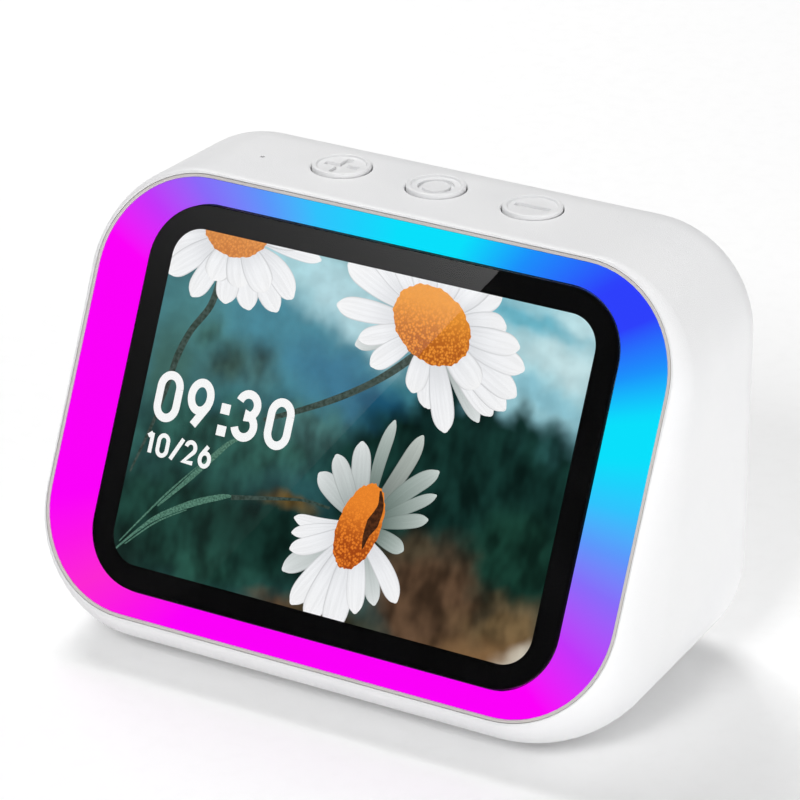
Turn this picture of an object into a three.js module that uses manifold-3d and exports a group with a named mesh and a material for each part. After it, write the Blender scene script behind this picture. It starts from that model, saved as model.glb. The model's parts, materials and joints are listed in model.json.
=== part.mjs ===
// A small desk display: a leaning picture screen with a lit ring around it, in a white wedge-shaped body
// with three push buttons on top. Millimetres, +X to the right, +Y to the back, +Z up.
// The origin is the middle of the footprint, on the surface that the feet stand on.

import * as THREE from "three";
import { mergeVertices } from "three/addons/utils/BufferGeometryUtils.js";
import Module from "manifold-3d";

const wasm = await Module();
wasm.setup();

// ---- driving dimensions -------------------------------------------------------------------------

const TILT = THREE.MathUtils.degToRad(24.3); // how far the screen leans back
const GAP = 0.3; // clearance between neighbouring pieces
const SEAM = 0.1; // hairline between pieces that sit together
const WALL = 2.2; // body wall
const ROOT = 0.5; // how far a boss or post runs into the wall that carries it
const PAST = 1; // how far a cutting tool runs past the face it opens

// The screen's layers are rounded outlines centred on the display axis, with a thickness behind it.
const RING = { width: 110, height: 76.6, radius: 18.5, thick: 1.6 };
const GLASS = { width: 91.1, height: 67.8, radius: 10.9, thick: 1.1 };
const PANEL = { width: 84, height: 61, radius: 4, thick: 1.2 };
const BACKLIGHT_THICK = 1.8;
const RIM_THICK = 0.35; // visible edge of the front frame around the ring
const LIP_THICK = 0.25; // thin edge of the body around the rim
const LIP_GAP = 0.25; // clearance between that edge and the rim
const MOUTH_DEPTH = 7.5; // how far the front frame sits inside the body

// The body, measured from the centre of the screen's front face.
const BODY = { width: 115.6, top: 36, bottom: -43.6, back: 47.4, backWidth: 112.6 };
const BODY_RADIUS = 20;
const BACK_RADIUS = 19;
const BACK_ROUND = 11.6; // rounding between the back and the sides
const CHIN_DEPTH = 17.9; // run of the curve that turns under the screen's lower edge
const BROW_DEPTH = 1.2; // run of the small curve above its upper edge

const BUTTON = { radius: 5.15, pitch: 18.7, y: 29.5, proud: 0.7, travel: 0.4, clearance: 0.2 };
const FLANGE = { radius: 6.2, thick: 0.8 };
const MARK = { length: 7, stroke: 1.1, ringOutside: 3.2, ringInside: 2.4, sunk: 0.3 };
const MIC_X = -33;
const MIC_Y = 26.8;

const BASE_COVER = { width: 56, depth: 26, y: 19, thick: 1.9, radius: 4 };
const FOOT = { radius: 3.6, x: 33.5, frontY: 5.9, backY: 32.5, thick: 1.6, proud: 0.8 };
const SPEAKER = { radius: 20.5, z: -2 };
const USB = { z: -27.5, width: 8.94, height: 3.2, depth: 7.3, wall: 0.35 };
const SCREW = { shank: 1.1, pilot: 1.3, clearance: 1.4, head: 2.1, headHeight: 1.1 };

const CURVE = 6; // facets to a quarter turn

// ---- derived places -----------------------------------------------------------------------------

const RIM = grown(RING, RIM_THICK + SEAM);
const MOUTH = grown(RIM, LIP_GAP);
const LIP = grown(MOUTH, LIP_THICK);
const FLOOR_Z = BODY.bottom - FOOT.proud;
const FRONT_Y = (-LIP.height / 2) * Math.sin(TILT);
const CENTRE = new THREE.Vector3(0, -(FRONT_Y + BODY.back) / 2, -FLOOR_Z);

const CEILING = BODY.top - WALL;
const BACK_WALL = BODY.back - WALL;
const BOTTOM_WALL = BODY.bottom + WALL;

// Layers behind the front face, as distances along the display axis (negative is further inside).
const PANEL_FRONT = -GLASS.thick - GAP;
const BACKLIGHT_FRONT = PANEL_FRONT - PANEL.thick - GAP;
const LED_BOARD = { front: -4.2, back: -5.2 };
const LED = { width: 3.5, depth: 2.8, height: 0.9 };
const FRAME_FLOOR = { front: -5.5, back: -7.2 };
const BRACKET = { front: -7.5, back: -8.5 };
const MAIN_BOARD = { width: 72, height: 46, front: -12.4, back: -14 };

const BUTTON_BOARD = { top: 25.9, thick: 1.2, minX: -38, maxX: 34, depth: 12 };

// ---- materials ----------------------------------------------------------------------------------

function material(color, roughness, metalness = 0) {
  return new THREE.MeshStandardMaterial({ color, roughness, metalness });
}

const finish = {
  shell: () => material(0xf4f4f5, 0.42),
  frame: () => material(0xd2d4d4, 0.45),
  diffuser: () => material(0xc94cff, 0.5),
  glass: () => material(0x08090a, 0.06),
  panel: () => material(0x24454f, 0.2),
  metal: () => material(0xb9bcc0, 0.35, 1),
  board: () => material(0x1f5a3a, 0.55),
  chip: () => material(0xf3efe2, 0.4),
  rubber: () => material(0x3a3b3d, 0.85),
  black: () => material(0x17181a, 0.6),
  cone: () => material(0x2a2622, 0.9),
  film: () => material(0xc07a2c, 0.4),
  red: () => material(0xb03028, 0.5),
};

// ---- geometry helpers ---------------------------------------------------------------------------

function grown(outline, by) {
  return {
    width: outline.width + 2 * by,
    height: outline.height + 2 * by,
    radius: outline.radius + by,
  };
}

function roundedRect({ width, height, radius }, Type = THREE.Shape) {
  const x = width / 2 - radius;
  const y = height / 2 - radius;
  const shape = new Type();
  shape.moveTo(width / 2, -y);
  shape.absarc(x, y, radius, 0, Math.PI / 2, false);
  shape.absarc(-x, y, radius, Math.PI / 2, Math.PI, false);
  shape.absarc(-x, -y, radius, Math.PI, 1.5 * Math.PI, false);
  shape.absarc(x, -y, radius, 1.5 * Math.PI, 2 * Math.PI, false);
  return shape;
}

/** A flat piece between two heights, with holes given as outlines. */
function plate(outline, low, high, holes = [], curveSegments = CURVE) {
  const shape = roundedRect(outline);
  for (const hole of holes) shape.holes.push(roundedRect(hole, THREE.Path));
  const depth = high - low;
  return new THREE.ExtrudeGeometry(shape, { depth, bevelEnabled: false, curveSegments }).translate(0, 0, low);
}

function box(width, depth, height, x, y, z) {
  return new THREE.BoxGeometry(width, depth, height).translate(x, y, z);
}

/** An upright cylinder between two heights. */
function rod(radius, low, high, x = 0, y = 0, segments = 16) {
  return new THREE.CylinderGeometry(radius, radius, high - low, segments)
    .rotateX(Math.PI / 2)
    .translate(x, y, (low + high) / 2);
}

/** A solid of revolution about Z; the profile is a list of [radius, height], from the bottom up. */
function turned(profile, segments = 20) {
  const points = profile.map(([r, z]) => new THREE.Vector2(r, z));
  return new THREE.LatheGeometry(points, segments).rotateX(Math.PI / 2);
}

function tube(outer, inner, low, high, segments = 16) {
  return turned(
    [
      [inner, low],
      [outer, low],
      [outer, high],
      [inner, high],
      [inner, low],
    ],
    segments,
  );
}

/** A strip of film: a bent centre line in the YZ plane, with a thickness, extruded to its width in X. */
function strip(line, thick, width, x = 0) {
  const side = (sign) =>
    line.map(([y, z], i) => {
      const before = line[Math.max(i - 1, 0)];
      const after = line[Math.min(i + 1, line.length - 1)];
      const along = new THREE.Vector2(after[0] - before[0], after[1] - before[1]).normalize();
      return new THREE.Vector2(y - (sign * along.y * thick) / 2, z + (sign * along.x * thick) / 2);
    });
  const shape = new THREE.Shape([...side(-1), ...side(1).reverse()]);
  // The shape's plane becomes YZ: its x runs along Y, its y along Z, and the extrusion along X.
  const turn = new THREE.Matrix4().makeBasis(
    new THREE.Vector3(0, 1, 0),
    new THREE.Vector3(0, 0, 1),
    new THREE.Vector3(1, 0, 0),
  );
  return new THREE.ExtrudeGeometry(shape, { depth: width, bevelEnabled: false })
    .applyMatrix4(turn)
    .translate(x - width / 2, 0, 0);
}

/** A round lead along a smooth curve through the points. */
function lead(points, radius, steps = 14) {
  const path = new THREE.CatmullRomCurve3(points.map((p) => new THREE.Vector3(...p)));
  const section = new THREE.Shape().absarc(0, 0, radius, 0, 2 * Math.PI, false);
  return new THREE.ExtrudeGeometry(section, { steps, extrudePath: path, curveSegments: 3 });
}

/** A closed skin through a row of equal-length rings of points, with a flat cap at each end. */
function loft(rings) {
  const count = rings[0].length;
  const index = [];
  for (let i = 0; i + 1 < rings.length; i++) {
    for (let j = 0; j < count; j++) {
      const a = i * count + j;
      const b = i * count + ((j + 1) % count);
      index.push(a, b, b + count, a, b + count, a + count);
    }
  }
  const last = (rings.length - 1) * count;
  for (let j = 1; j + 1 < count; j++) {
    index.push(0, j + 1, j, last, last + j, last + j + 1);
  }
  return new THREE.BufferGeometry().setFromPoints(rings.flat()).setIndex(index);
}

function solid(geometry) {
  const bare = geometry.clone();
  bare.deleteAttribute("normal");
  bare.deleteAttribute("uv");
  const merged = mergeVertices(bare, 1e-4);
  const made = new wasm.Manifold(
    new wasm.Mesh({
      numProp: 3,
      vertProperties: Float32Array.from(merged.attributes.position.array),
      triVerts: Uint32Array.from(merged.index.array),
    }),
  );
  return made;
}

function geometryOf(made) {
  const mesh = made.getMesh();
  return new THREE.BufferGeometry()
    .setAttribute("position", new THREE.BufferAttribute(mesh.vertProperties, 3))
    .setIndex(new THREE.BufferAttribute(mesh.triVerts, 1));
}

function join(...pieces) {
  return geometryOf(pieces.map(solid).reduce((whole, piece) => whole.add(piece)));
}

function cut(body, ...tools) {
  return geometryOf(tools.map(solid).reduce((rest, tool) => rest.subtract(tool), solid(body)));
}

// ---- scene graph --------------------------------------------------------------------------------

const device = new THREE.Group();
const housing = new THREE.Group(); // upright pieces, measured from the centre of the screen
housing.position.copy(CENTRE);
const display = new THREE.Group(); // leaning pieces: X across, Y up the screen, Z out of its face
display.rotation.x = Math.PI / 2 - TILT;
housing.add(display);
device.add(housing);

function add(group, name, geometry, look) {
  const mesh = new THREE.Mesh(geometry, look());
  mesh.name = name;
  group.add(mesh);
  return mesh;
}

/** Turns a piece that is laid out on the leaning screen into the upright frame of the body. */
function leaned(geometry) {
  return geometry.applyMatrix4(new THREE.Matrix4().makeRotationX(Math.PI / 2 - TILT));
}

/** Points the Z axis of a piece to the back of the body. */
function facingBack(geometry) {
  return geometry.rotateX(-Math.PI / 2);
}

// ---- body shell ---------------------------------------------------------------------------------

/** A ring of points in a plane that leans from yLow at the section's foot to yHigh at its top. */
function sectionRing({ halfWidth, top, bottom, radiusX, radiusZ, yLow, yHigh }) {
  const corners = [
    [1, top - radiusZ, 0],
    [-1, top - radiusZ, 1],
    [-1, bottom + radiusZ, 2],
    [1, bottom + radiusZ, 3],
  ];
  const ring = [];
  for (const [side, z0, quarter] of corners) {
    for (let i = 0; i <= CURVE; i++) {
      const angle = ((quarter + i / CURVE) * Math.PI) / 2;
      const x = side * (halfWidth - radiusX) + radiusX * Math.cos(angle);
      const z = z0 + radiusZ * Math.sin(angle);
      const rise = (z - bottom) / (top - bottom);
      ring.push(new THREE.Vector3(x, yLow + rise * (yHigh - yLow), z));
    }
  }
  return ring;
}

/** The body's outer form, or with an inset the form of its hollow, from the screen to the back. */
function bodyForm(inset = 0, startDepth = 0) {
  const { lerp } = THREE.MathUtils;
  const rings = [];
  const lipZ = (LIP.height / 2) * Math.cos(TILT);
  for (let i = 0; i <= CURVE; i++) {
    const angle = ((i / CURVE) * Math.PI) / 2;
    const out = Math.sin(angle);
    const run = 1 - Math.cos(angle);
    const top = lerp(lipZ, BODY.top, out) - inset;
    const bottom = lerp(-lipZ, BODY.bottom, out) + inset;
    rings.push(
      sectionRing({
        halfWidth: lerp(LIP.width, BODY.width, out) / 2 - inset,
        top,
        bottom,
        radiusX: lerp(LIP.radius, BODY_RADIUS, out) - inset,
        radiusZ: lerp(LIP.radius * Math.cos(TILT), BODY_RADIUS, out) - inset,
        yLow: (inset - lipZ) * Math.tan(TILT) + startDepth + CHIN_DEPTH * run,
        yHigh: (lipZ - inset) * Math.tan(TILT) + startDepth + BROW_DEPTH * run,
      }),
    );
  }
  for (let i = 0; i <= CURVE; i++) {
    const angle = ((i / CURVE) * Math.PI) / 2;
    const round = BACK_ROUND - inset;
    const pulledIn = inset + round * (1 - Math.cos(angle));
    const y = BODY.back - inset - round * (1 - Math.sin(angle));
    rings.push(
      sectionRing({
        halfWidth: BODY.backWidth / 2 - pulledIn,
        top: BODY.top - pulledIn,
        bottom: BODY.bottom + pulledIn,
        radiusX: BACK_RADIUS - pulledIn,
        radiusZ: BACK_RADIUS - pulledIn,
        yLow: y,
        yHigh: y,
      }),
    );
  }
  return loft(rings.map((ring) => ring.reverse()));
}

const buttonPlaces = [
  { name: "plus", x: -BUTTON.pitch },
  { name: "home", x: 0 },
  { name: "minus", x: BUTTON.pitch },
];
const footPlaces = [
  [-FOOT.x, FOOT.frontY],
  [FOOT.x, FOOT.frontY],
  [-FOOT.x, FOOT.backY],
  [FOOT.x, FOOT.backY],
];
const coverScrewPlaces = [-1, 1].flatMap((sx) =>
  [-1, 1].map((sy) => [(sx * (BASE_COVER.width - 9)) / 2, BASE_COVER.y + (sy * (BASE_COVER.depth - 9)) / 2]),
);
const buttonBossX = [-28.3, 28.3];
const speakerBossAngles = [Math.PI / 4, (5 * Math.PI) / 4];
const speakerBossRadius = 25;
const speakerBossFace = 42.7;
const SLOT_CLEARANCE = 0.35;
const usbPost = [-6, 35.5];
const tabPlaces = [-24, 24].flatMap((x) => [-1, 1].map((side) => [x, side]));
const TAB_Z = -4.6;

/** The sound outlet: rings of round holes, six more in each ring than in the last. */
function grilleHoles() {
  const pitch = 4.1;
  const rings = 4;
  const holes = [];
  for (let ring = 0; ring < rings; ring++) {
    const count = Math.max(1, 6 * ring);
    for (let i = 0; i < count; i++) {
      const angle = (2 * Math.PI * i) / count;
      const x = ring * pitch * Math.cos(angle);
      const z = SPEAKER.z + ring * pitch * Math.sin(angle);
      holes.push(facingBack(rod(1, BACK_WALL - PAST, BODY.back + PAST, x, -z, 8)));
    }
  }
  return holes;
}

function stadium(width, height, low, high, x, z) {
  const outline = { width, height, radius: height / 2 - 0.01 };
  return facingBack(plate(outline, low, high, [], 4).translate(x, -z, 0));
}

function speakerBossPlace(angle) {
  return [speakerBossRadius * Math.cos(angle), SPEAKER.z + speakerBossRadius * Math.sin(angle)];
}

/** A snap tab on the frame's upper (side 1) or lower (side -1) edge, or the groove that takes it. */
function tab(x, side, length, height, depth) {
  const overlap = 0.2;
  return box(length, height, depth, x, side * ((RIM.height + height) / 2 - overlap), TAB_Z);
}

function makeRearShell() {
  const hollow = bodyForm(WALL, 1);
  const mouth = leaned(plate(MOUTH, -MOUTH_DEPTH, 2));
  let shell = cut(bodyForm(), hollow, mouth);

  // Inside: a thick floor around the base cover, bosses for the boards and the speaker.
  const ledgeTop = BODY.bottom + 4.6;
  const ledge = { width: BASE_COVER.width + 8, height: BASE_COVER.depth + 8, radius: 4 };
  const inside = [plate(ledge, BOTTOM_WALL - ROOT, ledgeTop).translate(0, BASE_COVER.y, 0)];
  for (const x of buttonBossX) {
    inside.push(rod(2.6, BUTTON_BOARD.top + GAP, CEILING + ROOT, x, BUTTON.y, 12));
  }
  for (const angle of speakerBossAngles) {
    const [x, z] = speakerBossPlace(angle);
    inside.push(facingBack(rod(2.8, speakerBossFace, BACK_WALL + ROOT, x, -z, 12)));
  }
  inside.push(rod(2.2, BOTTOM_WALL - ROOT, USB.z - USB.height / 2 - 1.9, ...usbPost, 12));
  shell = join(shell, ...inside);

  const holes = [];
  for (const { x } of buttonPlaces) {
    holes.push(rod(BUTTON.radius + BUTTON.clearance, CEILING - PAST, BODY.top + PAST, x, BUTTON.y, 24));
  }
  holes.push(rod(0.4, CEILING - PAST, BODY.top + PAST, MIC_X, MIC_Y, 8));
  holes.push(...grilleHoles());
  const slotHeight = USB.height + 2 * SLOT_CLEARANCE;
  const slotWidth = USB.width + 2 * SLOT_CLEARANCE;
  holes.push(stadium(slotWidth, slotHeight, BACK_WALL - PAST, BODY.back + PAST, 0, USB.z));

  // Base cover: a rebate for the cover, an opening inside it, and a pilot hole for each screw.
  const rebate = { width: BASE_COVER.width, height: BASE_COVER.depth, radius: BASE_COVER.radius };
  const seat = 7; // ledge left around the opening for the cover to lie on
  const opening = { width: BASE_COVER.width - 2 * seat, height: BASE_COVER.depth - 2 * seat, radius: 2 };
  const rebateTop = BODY.bottom + BASE_COVER.thick + GAP;
  holes.push(plate(rebate, BODY.bottom - PAST, rebateTop).translate(0, BASE_COVER.y, 0));
  holes.push(plate(opening, BODY.bottom - PAST, ledgeTop + PAST).translate(0, BASE_COVER.y, 0));
  for (const [x, y] of coverScrewPlaces) holes.push(rod(SCREW.pilot, BODY.bottom, ledgeTop - 0.5, x, y, 8));
  const footTop = BODY.bottom + FOOT.thick - FOOT.proud + GAP;
  for (const [x, y] of footPlaces) holes.push(rod(FOOT.radius + 0.2, BODY.bottom - PAST, footTop, x, y, 20));
  for (const x of buttonBossX) holes.push(rod(SCREW.pilot, BUTTON_BOARD.top, CEILING - 1, x, BUTTON.y, 8));
  for (const angle of speakerBossAngles) {
    const [x, z] = speakerBossPlace(angle);
    holes.push(facingBack(rod(SCREW.pilot, speakerBossFace - PAST, BACK_WALL - 0.2, x, -z, 8)));
  }
  holes.push(rod(SCREW.pilot, USB.z - 12, USB.z, ...usbPost, 8));
  for (const [x, side] of tabPlaces) holes.push(leaned(tab(x, side, 8.6, 1.4, 2.2)));
  add(housing, "rear_shell", cut(shell, ...holes), finish.shell);
}

function makeBase() {
  const { width, depth, y, thick, radius } = BASE_COVER;
  const plan = { width: width - 2 * GAP, height: depth - 2 * GAP, radius: radius - GAP };
  const headRecess = 1.3;
  const blank = plate(plan, BODY.bottom, BODY.bottom + thick).translate(0, y, 0);
  const screwHoles = coverScrewPlaces.flatMap(([sx, sy]) => [
    rod(2.5, BODY.bottom - PAST, BODY.bottom + headRecess, sx, sy, 12),
    rod(SCREW.clearance, BODY.bottom - PAST, BODY.bottom + thick + PAST, sx, sy, 8),
  ]);
  add(housing, "bottom_cover", cut(blank, ...screwHoles), finish.shell);

  coverScrewPlaces.forEach(([sx, sy], i) => {
    const body = screw(2.6).rotateX(Math.PI).translate(sx, sy, BODY.bottom + headRecess - SEAM);
    add(housing, `cover_screw_${i + 1}`, body, finish.metal);
  });
  footPlaces.forEach(([fx, fy], i) => {
    const chamfer = 0.4;
    const profile = [
      [0, 0],
      [FOOT.radius - chamfer, 0],
      [FOOT.radius, chamfer],
      [FOOT.radius, FOOT.thick],
      [0, FOOT.thick],
    ];
    const pad = turned(profile, 20).translate(fx, fy, BODY.bottom - FOOT.proud);
    add(housing, `foot_${i + 1}`, pad, finish.rubber);
  });
}

/** A cylinder-head screw with its head standing up from z = 0 and a shank of the given length below. */
function screw(length) {
  return turned(
    [
      [0, -length],
      [SCREW.shank, -length],
      [SCREW.shank, 0],
      [SCREW.head, 0],
      [SCREW.head, SCREW.headHeight],
      [0, SCREW.headHeight],
    ],
    10,
  );
}

// ---- screen stack -------------------------------------------------------------------------------

const wallOutside = grown(GLASS, -SEAM);
const wallInside = grown(PANEL, GAP);
const FLUSH = 0.05; // how far the ring and the rim sit behind the glass

function makeFrontFrame() {
  const floor = plate(RIM, FRAME_FLOOR.back, FRAME_FLOOR.front, [wallInside]);
  const rim = plate(RIM, FRAME_FLOOR.back, -FLUSH, [grown(RIM, -RIM_THICK)]);
  const wall = plate(wallOutside, FRAME_FLOOR.back, PANEL_FRONT, [wallInside]);
  const tabs = tabPlaces.map(([x, side]) => tab(x, side, 8, 0.8, 1.6));
  add(display, "front_frame", join(floor, rim, wall, ...tabs), finish.frame);
}

function makeScreen() {
  add(display, "cover_glass", plate(GLASS, -GLASS.thick, 0), finish.glass);
  add(display, "light_ring", plate(RING, -RING.thick, -FLUSH, [grown(GLASS, GAP)]), finish.diffuser);
  add(display, "lcd_panel", plate(PANEL, PANEL_FRONT - PANEL.thick, PANEL_FRONT, [], 2), finish.panel);
  const backlight = plate(PANEL, BACKLIGHT_FRONT - BACKLIGHT_THICK, BACKLIGHT_FRONT, [], 2);
  add(display, "lcd_backlight", backlight, finish.metal);
}

function makeLedBoard() {
  const outside = grown(RING, -0.3);
  const inside = grown(wallOutside, GAP);
  add(display, "led_board", plate(outside, LED_BOARD.back, LED_BOARD.front, [inside]), finish.board);

  const acrossY = (outside.height + inside.height) / 4;
  const alongX = (outside.width + inside.width) / 4;
  const places = [];
  for (const side of [1, -1]) {
    for (const x of [-30, 0, 30]) places.push([x, side * acrossY]);
  }
  places.push([alongX, 0], [-alongX, 0]);
  places.forEach(([x, y], i) => {
    const { width, depth, height } = LED;
    const chip = box(width, depth, height, x, y, LED_BOARD.front + GAP + height / 2);
    add(display, `led_${i + 1}`, chip, finish.chip);
  });
}

// ---- bracket and boards behind the screen -------------------------------------------------------

const boardScrewPlaces = [-1, 1].flatMap((sx) => [-1, 1].map((sy) => [sx * 32, sy * 19]));

function makeBracket() {
  const sheet = plate({ width: 98, height: 64, radius: 5 }, BRACKET.back, BRACKET.front, [], 3);
  const postEnd = MAIN_BOARD.front + GAP;
  const posts = boardScrewPlaces.map(([x, y]) => rod(2.6, postEnd, BRACKET.back + ROOT, x, y, 12));
  const pilots = boardScrewPlaces.map(([x, y]) => rod(SCREW.pilot, postEnd - PAST, BRACKET.back, x, y, 8));
  const ribbonSlot = box(24, 9, 3, 0, -22.5, BRACKET.back);
  add(display, "lcd_bracket", cut(join(sheet, ...posts), ...pilots, ribbonSlot), finish.metal);
}

function makeMainBoard() {
  const { front, back } = MAIN_BOARD;
  const outline = { width: MAIN_BOARD.width, height: MAIN_BOARD.height, radius: 2 };
  const holes = boardScrewPlaces.map(([x, y]) => rod(SCREW.clearance, back - PAST, front + PAST, x, y, 8));
  add(display, "main_board", cut(plate(outline, back, front, [], 2), ...holes), finish.board);
  boardScrewPlaces.forEach(([x, y], i) => {
    const body = screw(4).rotateX(Math.PI).translate(x, y, back - SEAM);
    add(display, `board_screw_${i + 1}`, body, finish.metal);
  });
  const canHeight = 2.2;
  const moduleHeight = 1.8;
  const seat = back - GAP;
  add(display, "shield_can", box(24, 20, canHeight, -12, 4, seat - canHeight / 2), finish.metal);
  add(display, "wifi_module", box(13, 16, moduleHeight, 16, 6, seat - moduleHeight / 2), finish.metal);
  const ribbon = strip(
    [
      [-27, BACKLIGHT_FRONT - BACKLIGHT_THICK - 0.6],
      [-24.5, BACKLIGHT_FRONT - BACKLIGHT_THICK - 0.8],
      [-22.6, BRACKET.back],
      [-20.6, MAIN_BOARD.front + 1.1],
      [-18, MAIN_BOARD.front + 0.6],
      [-13, MAIN_BOARD.front + 0.6],
    ],
    0.3,
    18,
  );
  add(display, "lcd_ribbon", ribbon, finish.film);
}

// ---- buttons ------------------------------------------------------------------------------------

const STEM_BOTTOM = 30.4;
const SWITCH = { size: 6, height: 3.2, plunger: 1.6 };

/** The tools that sink each mark into its cap: two crossed bars, one bar, or a ring. */
function markTools(name, floor) {
  const { length, stroke, ringOutside, ringInside } = MARK;
  const bar = (width, depth) => box(width, depth, PAST, 0, 0, floor + PAST / 2);
  if (name === "plus") return [bar(length, stroke), bar(stroke, length)];
  if (name === "minus") return [bar(length, stroke)];
  return [tube(ringOutside, ringInside, floor, floor + PAST, 20)];
}

function makeButton({ name, x }) {
  const rimTop = BODY.top + BUTTON.proud;
  const dish = rimTop - 0.35;
  const flangeTop = CEILING - GAP - SEAM;
  const cap = turned(
    [
      [0, STEM_BOTTOM],
      [1.6, STEM_BOTTOM],
      [1.6, flangeTop - FLANGE.thick],
      [FLANGE.radius, flangeTop - FLANGE.thick],
      [FLANGE.radius, flangeTop],
      [BUTTON.radius, flangeTop],
      [BUTTON.radius, rimTop - 0.25],
      [BUTTON.radius - 0.25, rimTop],
      [BUTTON.radius - 0.6, rimTop],
      [BUTTON.radius - 1.1, dish],
      [0, dish],
    ],
    24,
  );
  const marked = cut(cap, ...markTools(name, dish - MARK.sunk)).translate(x, BUTTON.y, 0);
  add(housing, `button_${name}`, marked, finish.shell);

  const switchLow = BUTTON_BOARD.top + GAP;
  const wellFloor = switchLow + 1;
  const well = rod(SWITCH.plunger + 0.2, wellFloor, switchLow + SWITCH.height + PAST, 0, 0, 12);
  const block = box(SWITCH.size, SWITCH.size, SWITCH.height, 0, 0, switchLow + SWITCH.height / 2);
  const switchBody = cut(block, well).translate(x, BUTTON.y, 0);
  add(housing, `tact_switch_${name}`, switchBody, finish.black);
  const plungerLow = wellFloor + BUTTON.travel + 0.2;
  const plunger = rod(SWITCH.plunger, plungerLow, STEM_BOTTOM - 0.05, x, BUTTON.y, 12);
  add(housing, `plunger_${name}`, plunger, finish.black);
}

function makeButtonBoard() {
  const { top, thick, minX, maxX, depth } = BUTTON_BOARD;
  const low = top - thick;
  const outline = { width: maxX - minX, height: depth, radius: 1.5 };
  const blank = plate(outline, low, top, [], 2).translate((minX + maxX) / 2, BUTTON.y, 0);
  const holes = buttonBossX.map((x) => rod(SCREW.clearance, low - PAST, top + PAST, x, BUTTON.y, 8));
  add(housing, "button_board", cut(blank, ...holes), finish.board);
  buttonBossX.forEach((x, i) => {
    const body = screw(4).rotateX(Math.PI).translate(x, BUTTON.y, low - SEAM);
    add(housing, `button_board_screw_${i + 1}`, body, finish.metal);
  });

  const capsuleTop = top + GAP + 1.2;
  add(housing, "microphone", rod(2, top + GAP, capsuleTop, MIC_X, MIC_Y), finish.metal);
  const boot = tube(2.6, 0.6, capsuleTop + SEAM, CEILING - SEAM).translate(MIC_X, MIC_Y, 0);
  add(housing, "microphone_boot", boot, finish.rubber);

  const ribbon = strip(
    [
      [BUTTON.y - 2, low - 0.5],
      [BUTTON.y - 4.5, low - 0.7],
      [BUTTON.y - 6, low - 3],
      [BUTTON.y - 6.4, low - 8],
    ],
    0.3,
    10,
    12,
  );
  add(housing, "button_ribbon", ribbon, finish.film);
}

// ---- speaker ------------------------------------------------------------------------------------

function makeSpeaker() {
  const { radius, z } = SPEAKER;
  const place = (geometry) => facingBack(geometry).translate(0, 0, z);
  const gasketThick = 0.8;
  const gasketBack = BACK_WALL - SEAM;
  const flangeBack = gasketBack - gasketThick - SEAM;
  const flangeFront = flangeBack - 1.2;
  const magnetBack = 32;
  const sideRadius = 18.9;
  const wall = 1;
  const earBack = speakerBossFace - GAP;
  const earFront = earBack - 1.2;

  const gasket = tube(radius, sideRadius - wall, gasketBack - gasketThick, gasketBack, 24);
  add(housing, "speaker_gasket", place(gasket), finish.rubber);

  // The basket is a bowl: a floor with a hole for the coil, a cone-shaped side, a rim, and two ears.
  const bowl = turned(
    [
      [6.5, magnetBack + GAP],
      [11.5, magnetBack + GAP],
      [sideRadius, 40.8],
      [sideRadius, flangeFront],
      [radius, flangeFront],
      [radius, flangeBack],
      [sideRadius - wall, flangeBack],
      [sideRadius - wall, 41.1],
      [10.6, magnetBack + GAP + wall],
      [6.5, magnetBack + GAP + wall],
      [6.5, magnetBack + GAP],
    ],
    24,
  );
  const earLength = speakerBossRadius + 3 - sideRadius + wall / 2;
  const ears = speakerBossAngles.map((angle) =>
    plate({ width: earLength, height: 7, radius: 3.4 }, earFront, earBack, [], 4)
      .translate(speakerBossRadius + 3 - earLength / 2, 0, 0)
      .rotateZ(-angle),
  );
  const earHoles = speakerBossAngles.map((angle) =>
    rod(SCREW.clearance, earFront - PAST, earBack + PAST, speakerBossRadius, 0, 8).rotateZ(-angle),
  );
  add(housing, "speaker_basket", place(cut(join(bowl, ...ears), ...earHoles)), finish.black);
  speakerBossAngles.forEach((angle, i) => {
    const body = screw(3)
      .rotateX(Math.PI)
      .translate(speakerBossRadius, 0, earFront - SEAM)
      .rotateZ(-angle);
    add(housing, `speaker_screw_${i + 1}`, place(body), finish.metal);
  });

  // The magnet has an open gap in which the coil at the neck of the cone moves.
  const coilGap = tube(5.6, 4.2, magnetBack - 3.5, magnetBack + PAST, 20);
  const magnet = cut(rod(11, 24.5, magnetBack, 0, 0, 24), coilGap);
  add(housing, "speaker_magnet", place(magnet), finish.metal);
  const cone = turned(
    [
      [4.65, magnetBack - 1.6],
      [5.15, magnetBack - 1.6],
      [5.15, 36.4],
      [15.2, 41],
      [16.1, 41.9],
      [17, 41.4],
      [17, 41.9],
      [16, 42.5],
      [14.8, 41.5],
      [4.9, 37.1],
      [3.5, 38.4],
      [0, 39.2],
      [0, 38.7],
      [3.2, 37.9],
      [4.65, 36.6],
      [4.65, magnetBack - 1.6],
    ],
    24,
  );
  add(housing, "speaker_cone", place(cone), finish.cone);
}

// ---- power inlet --------------------------------------------------------------------------------

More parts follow.
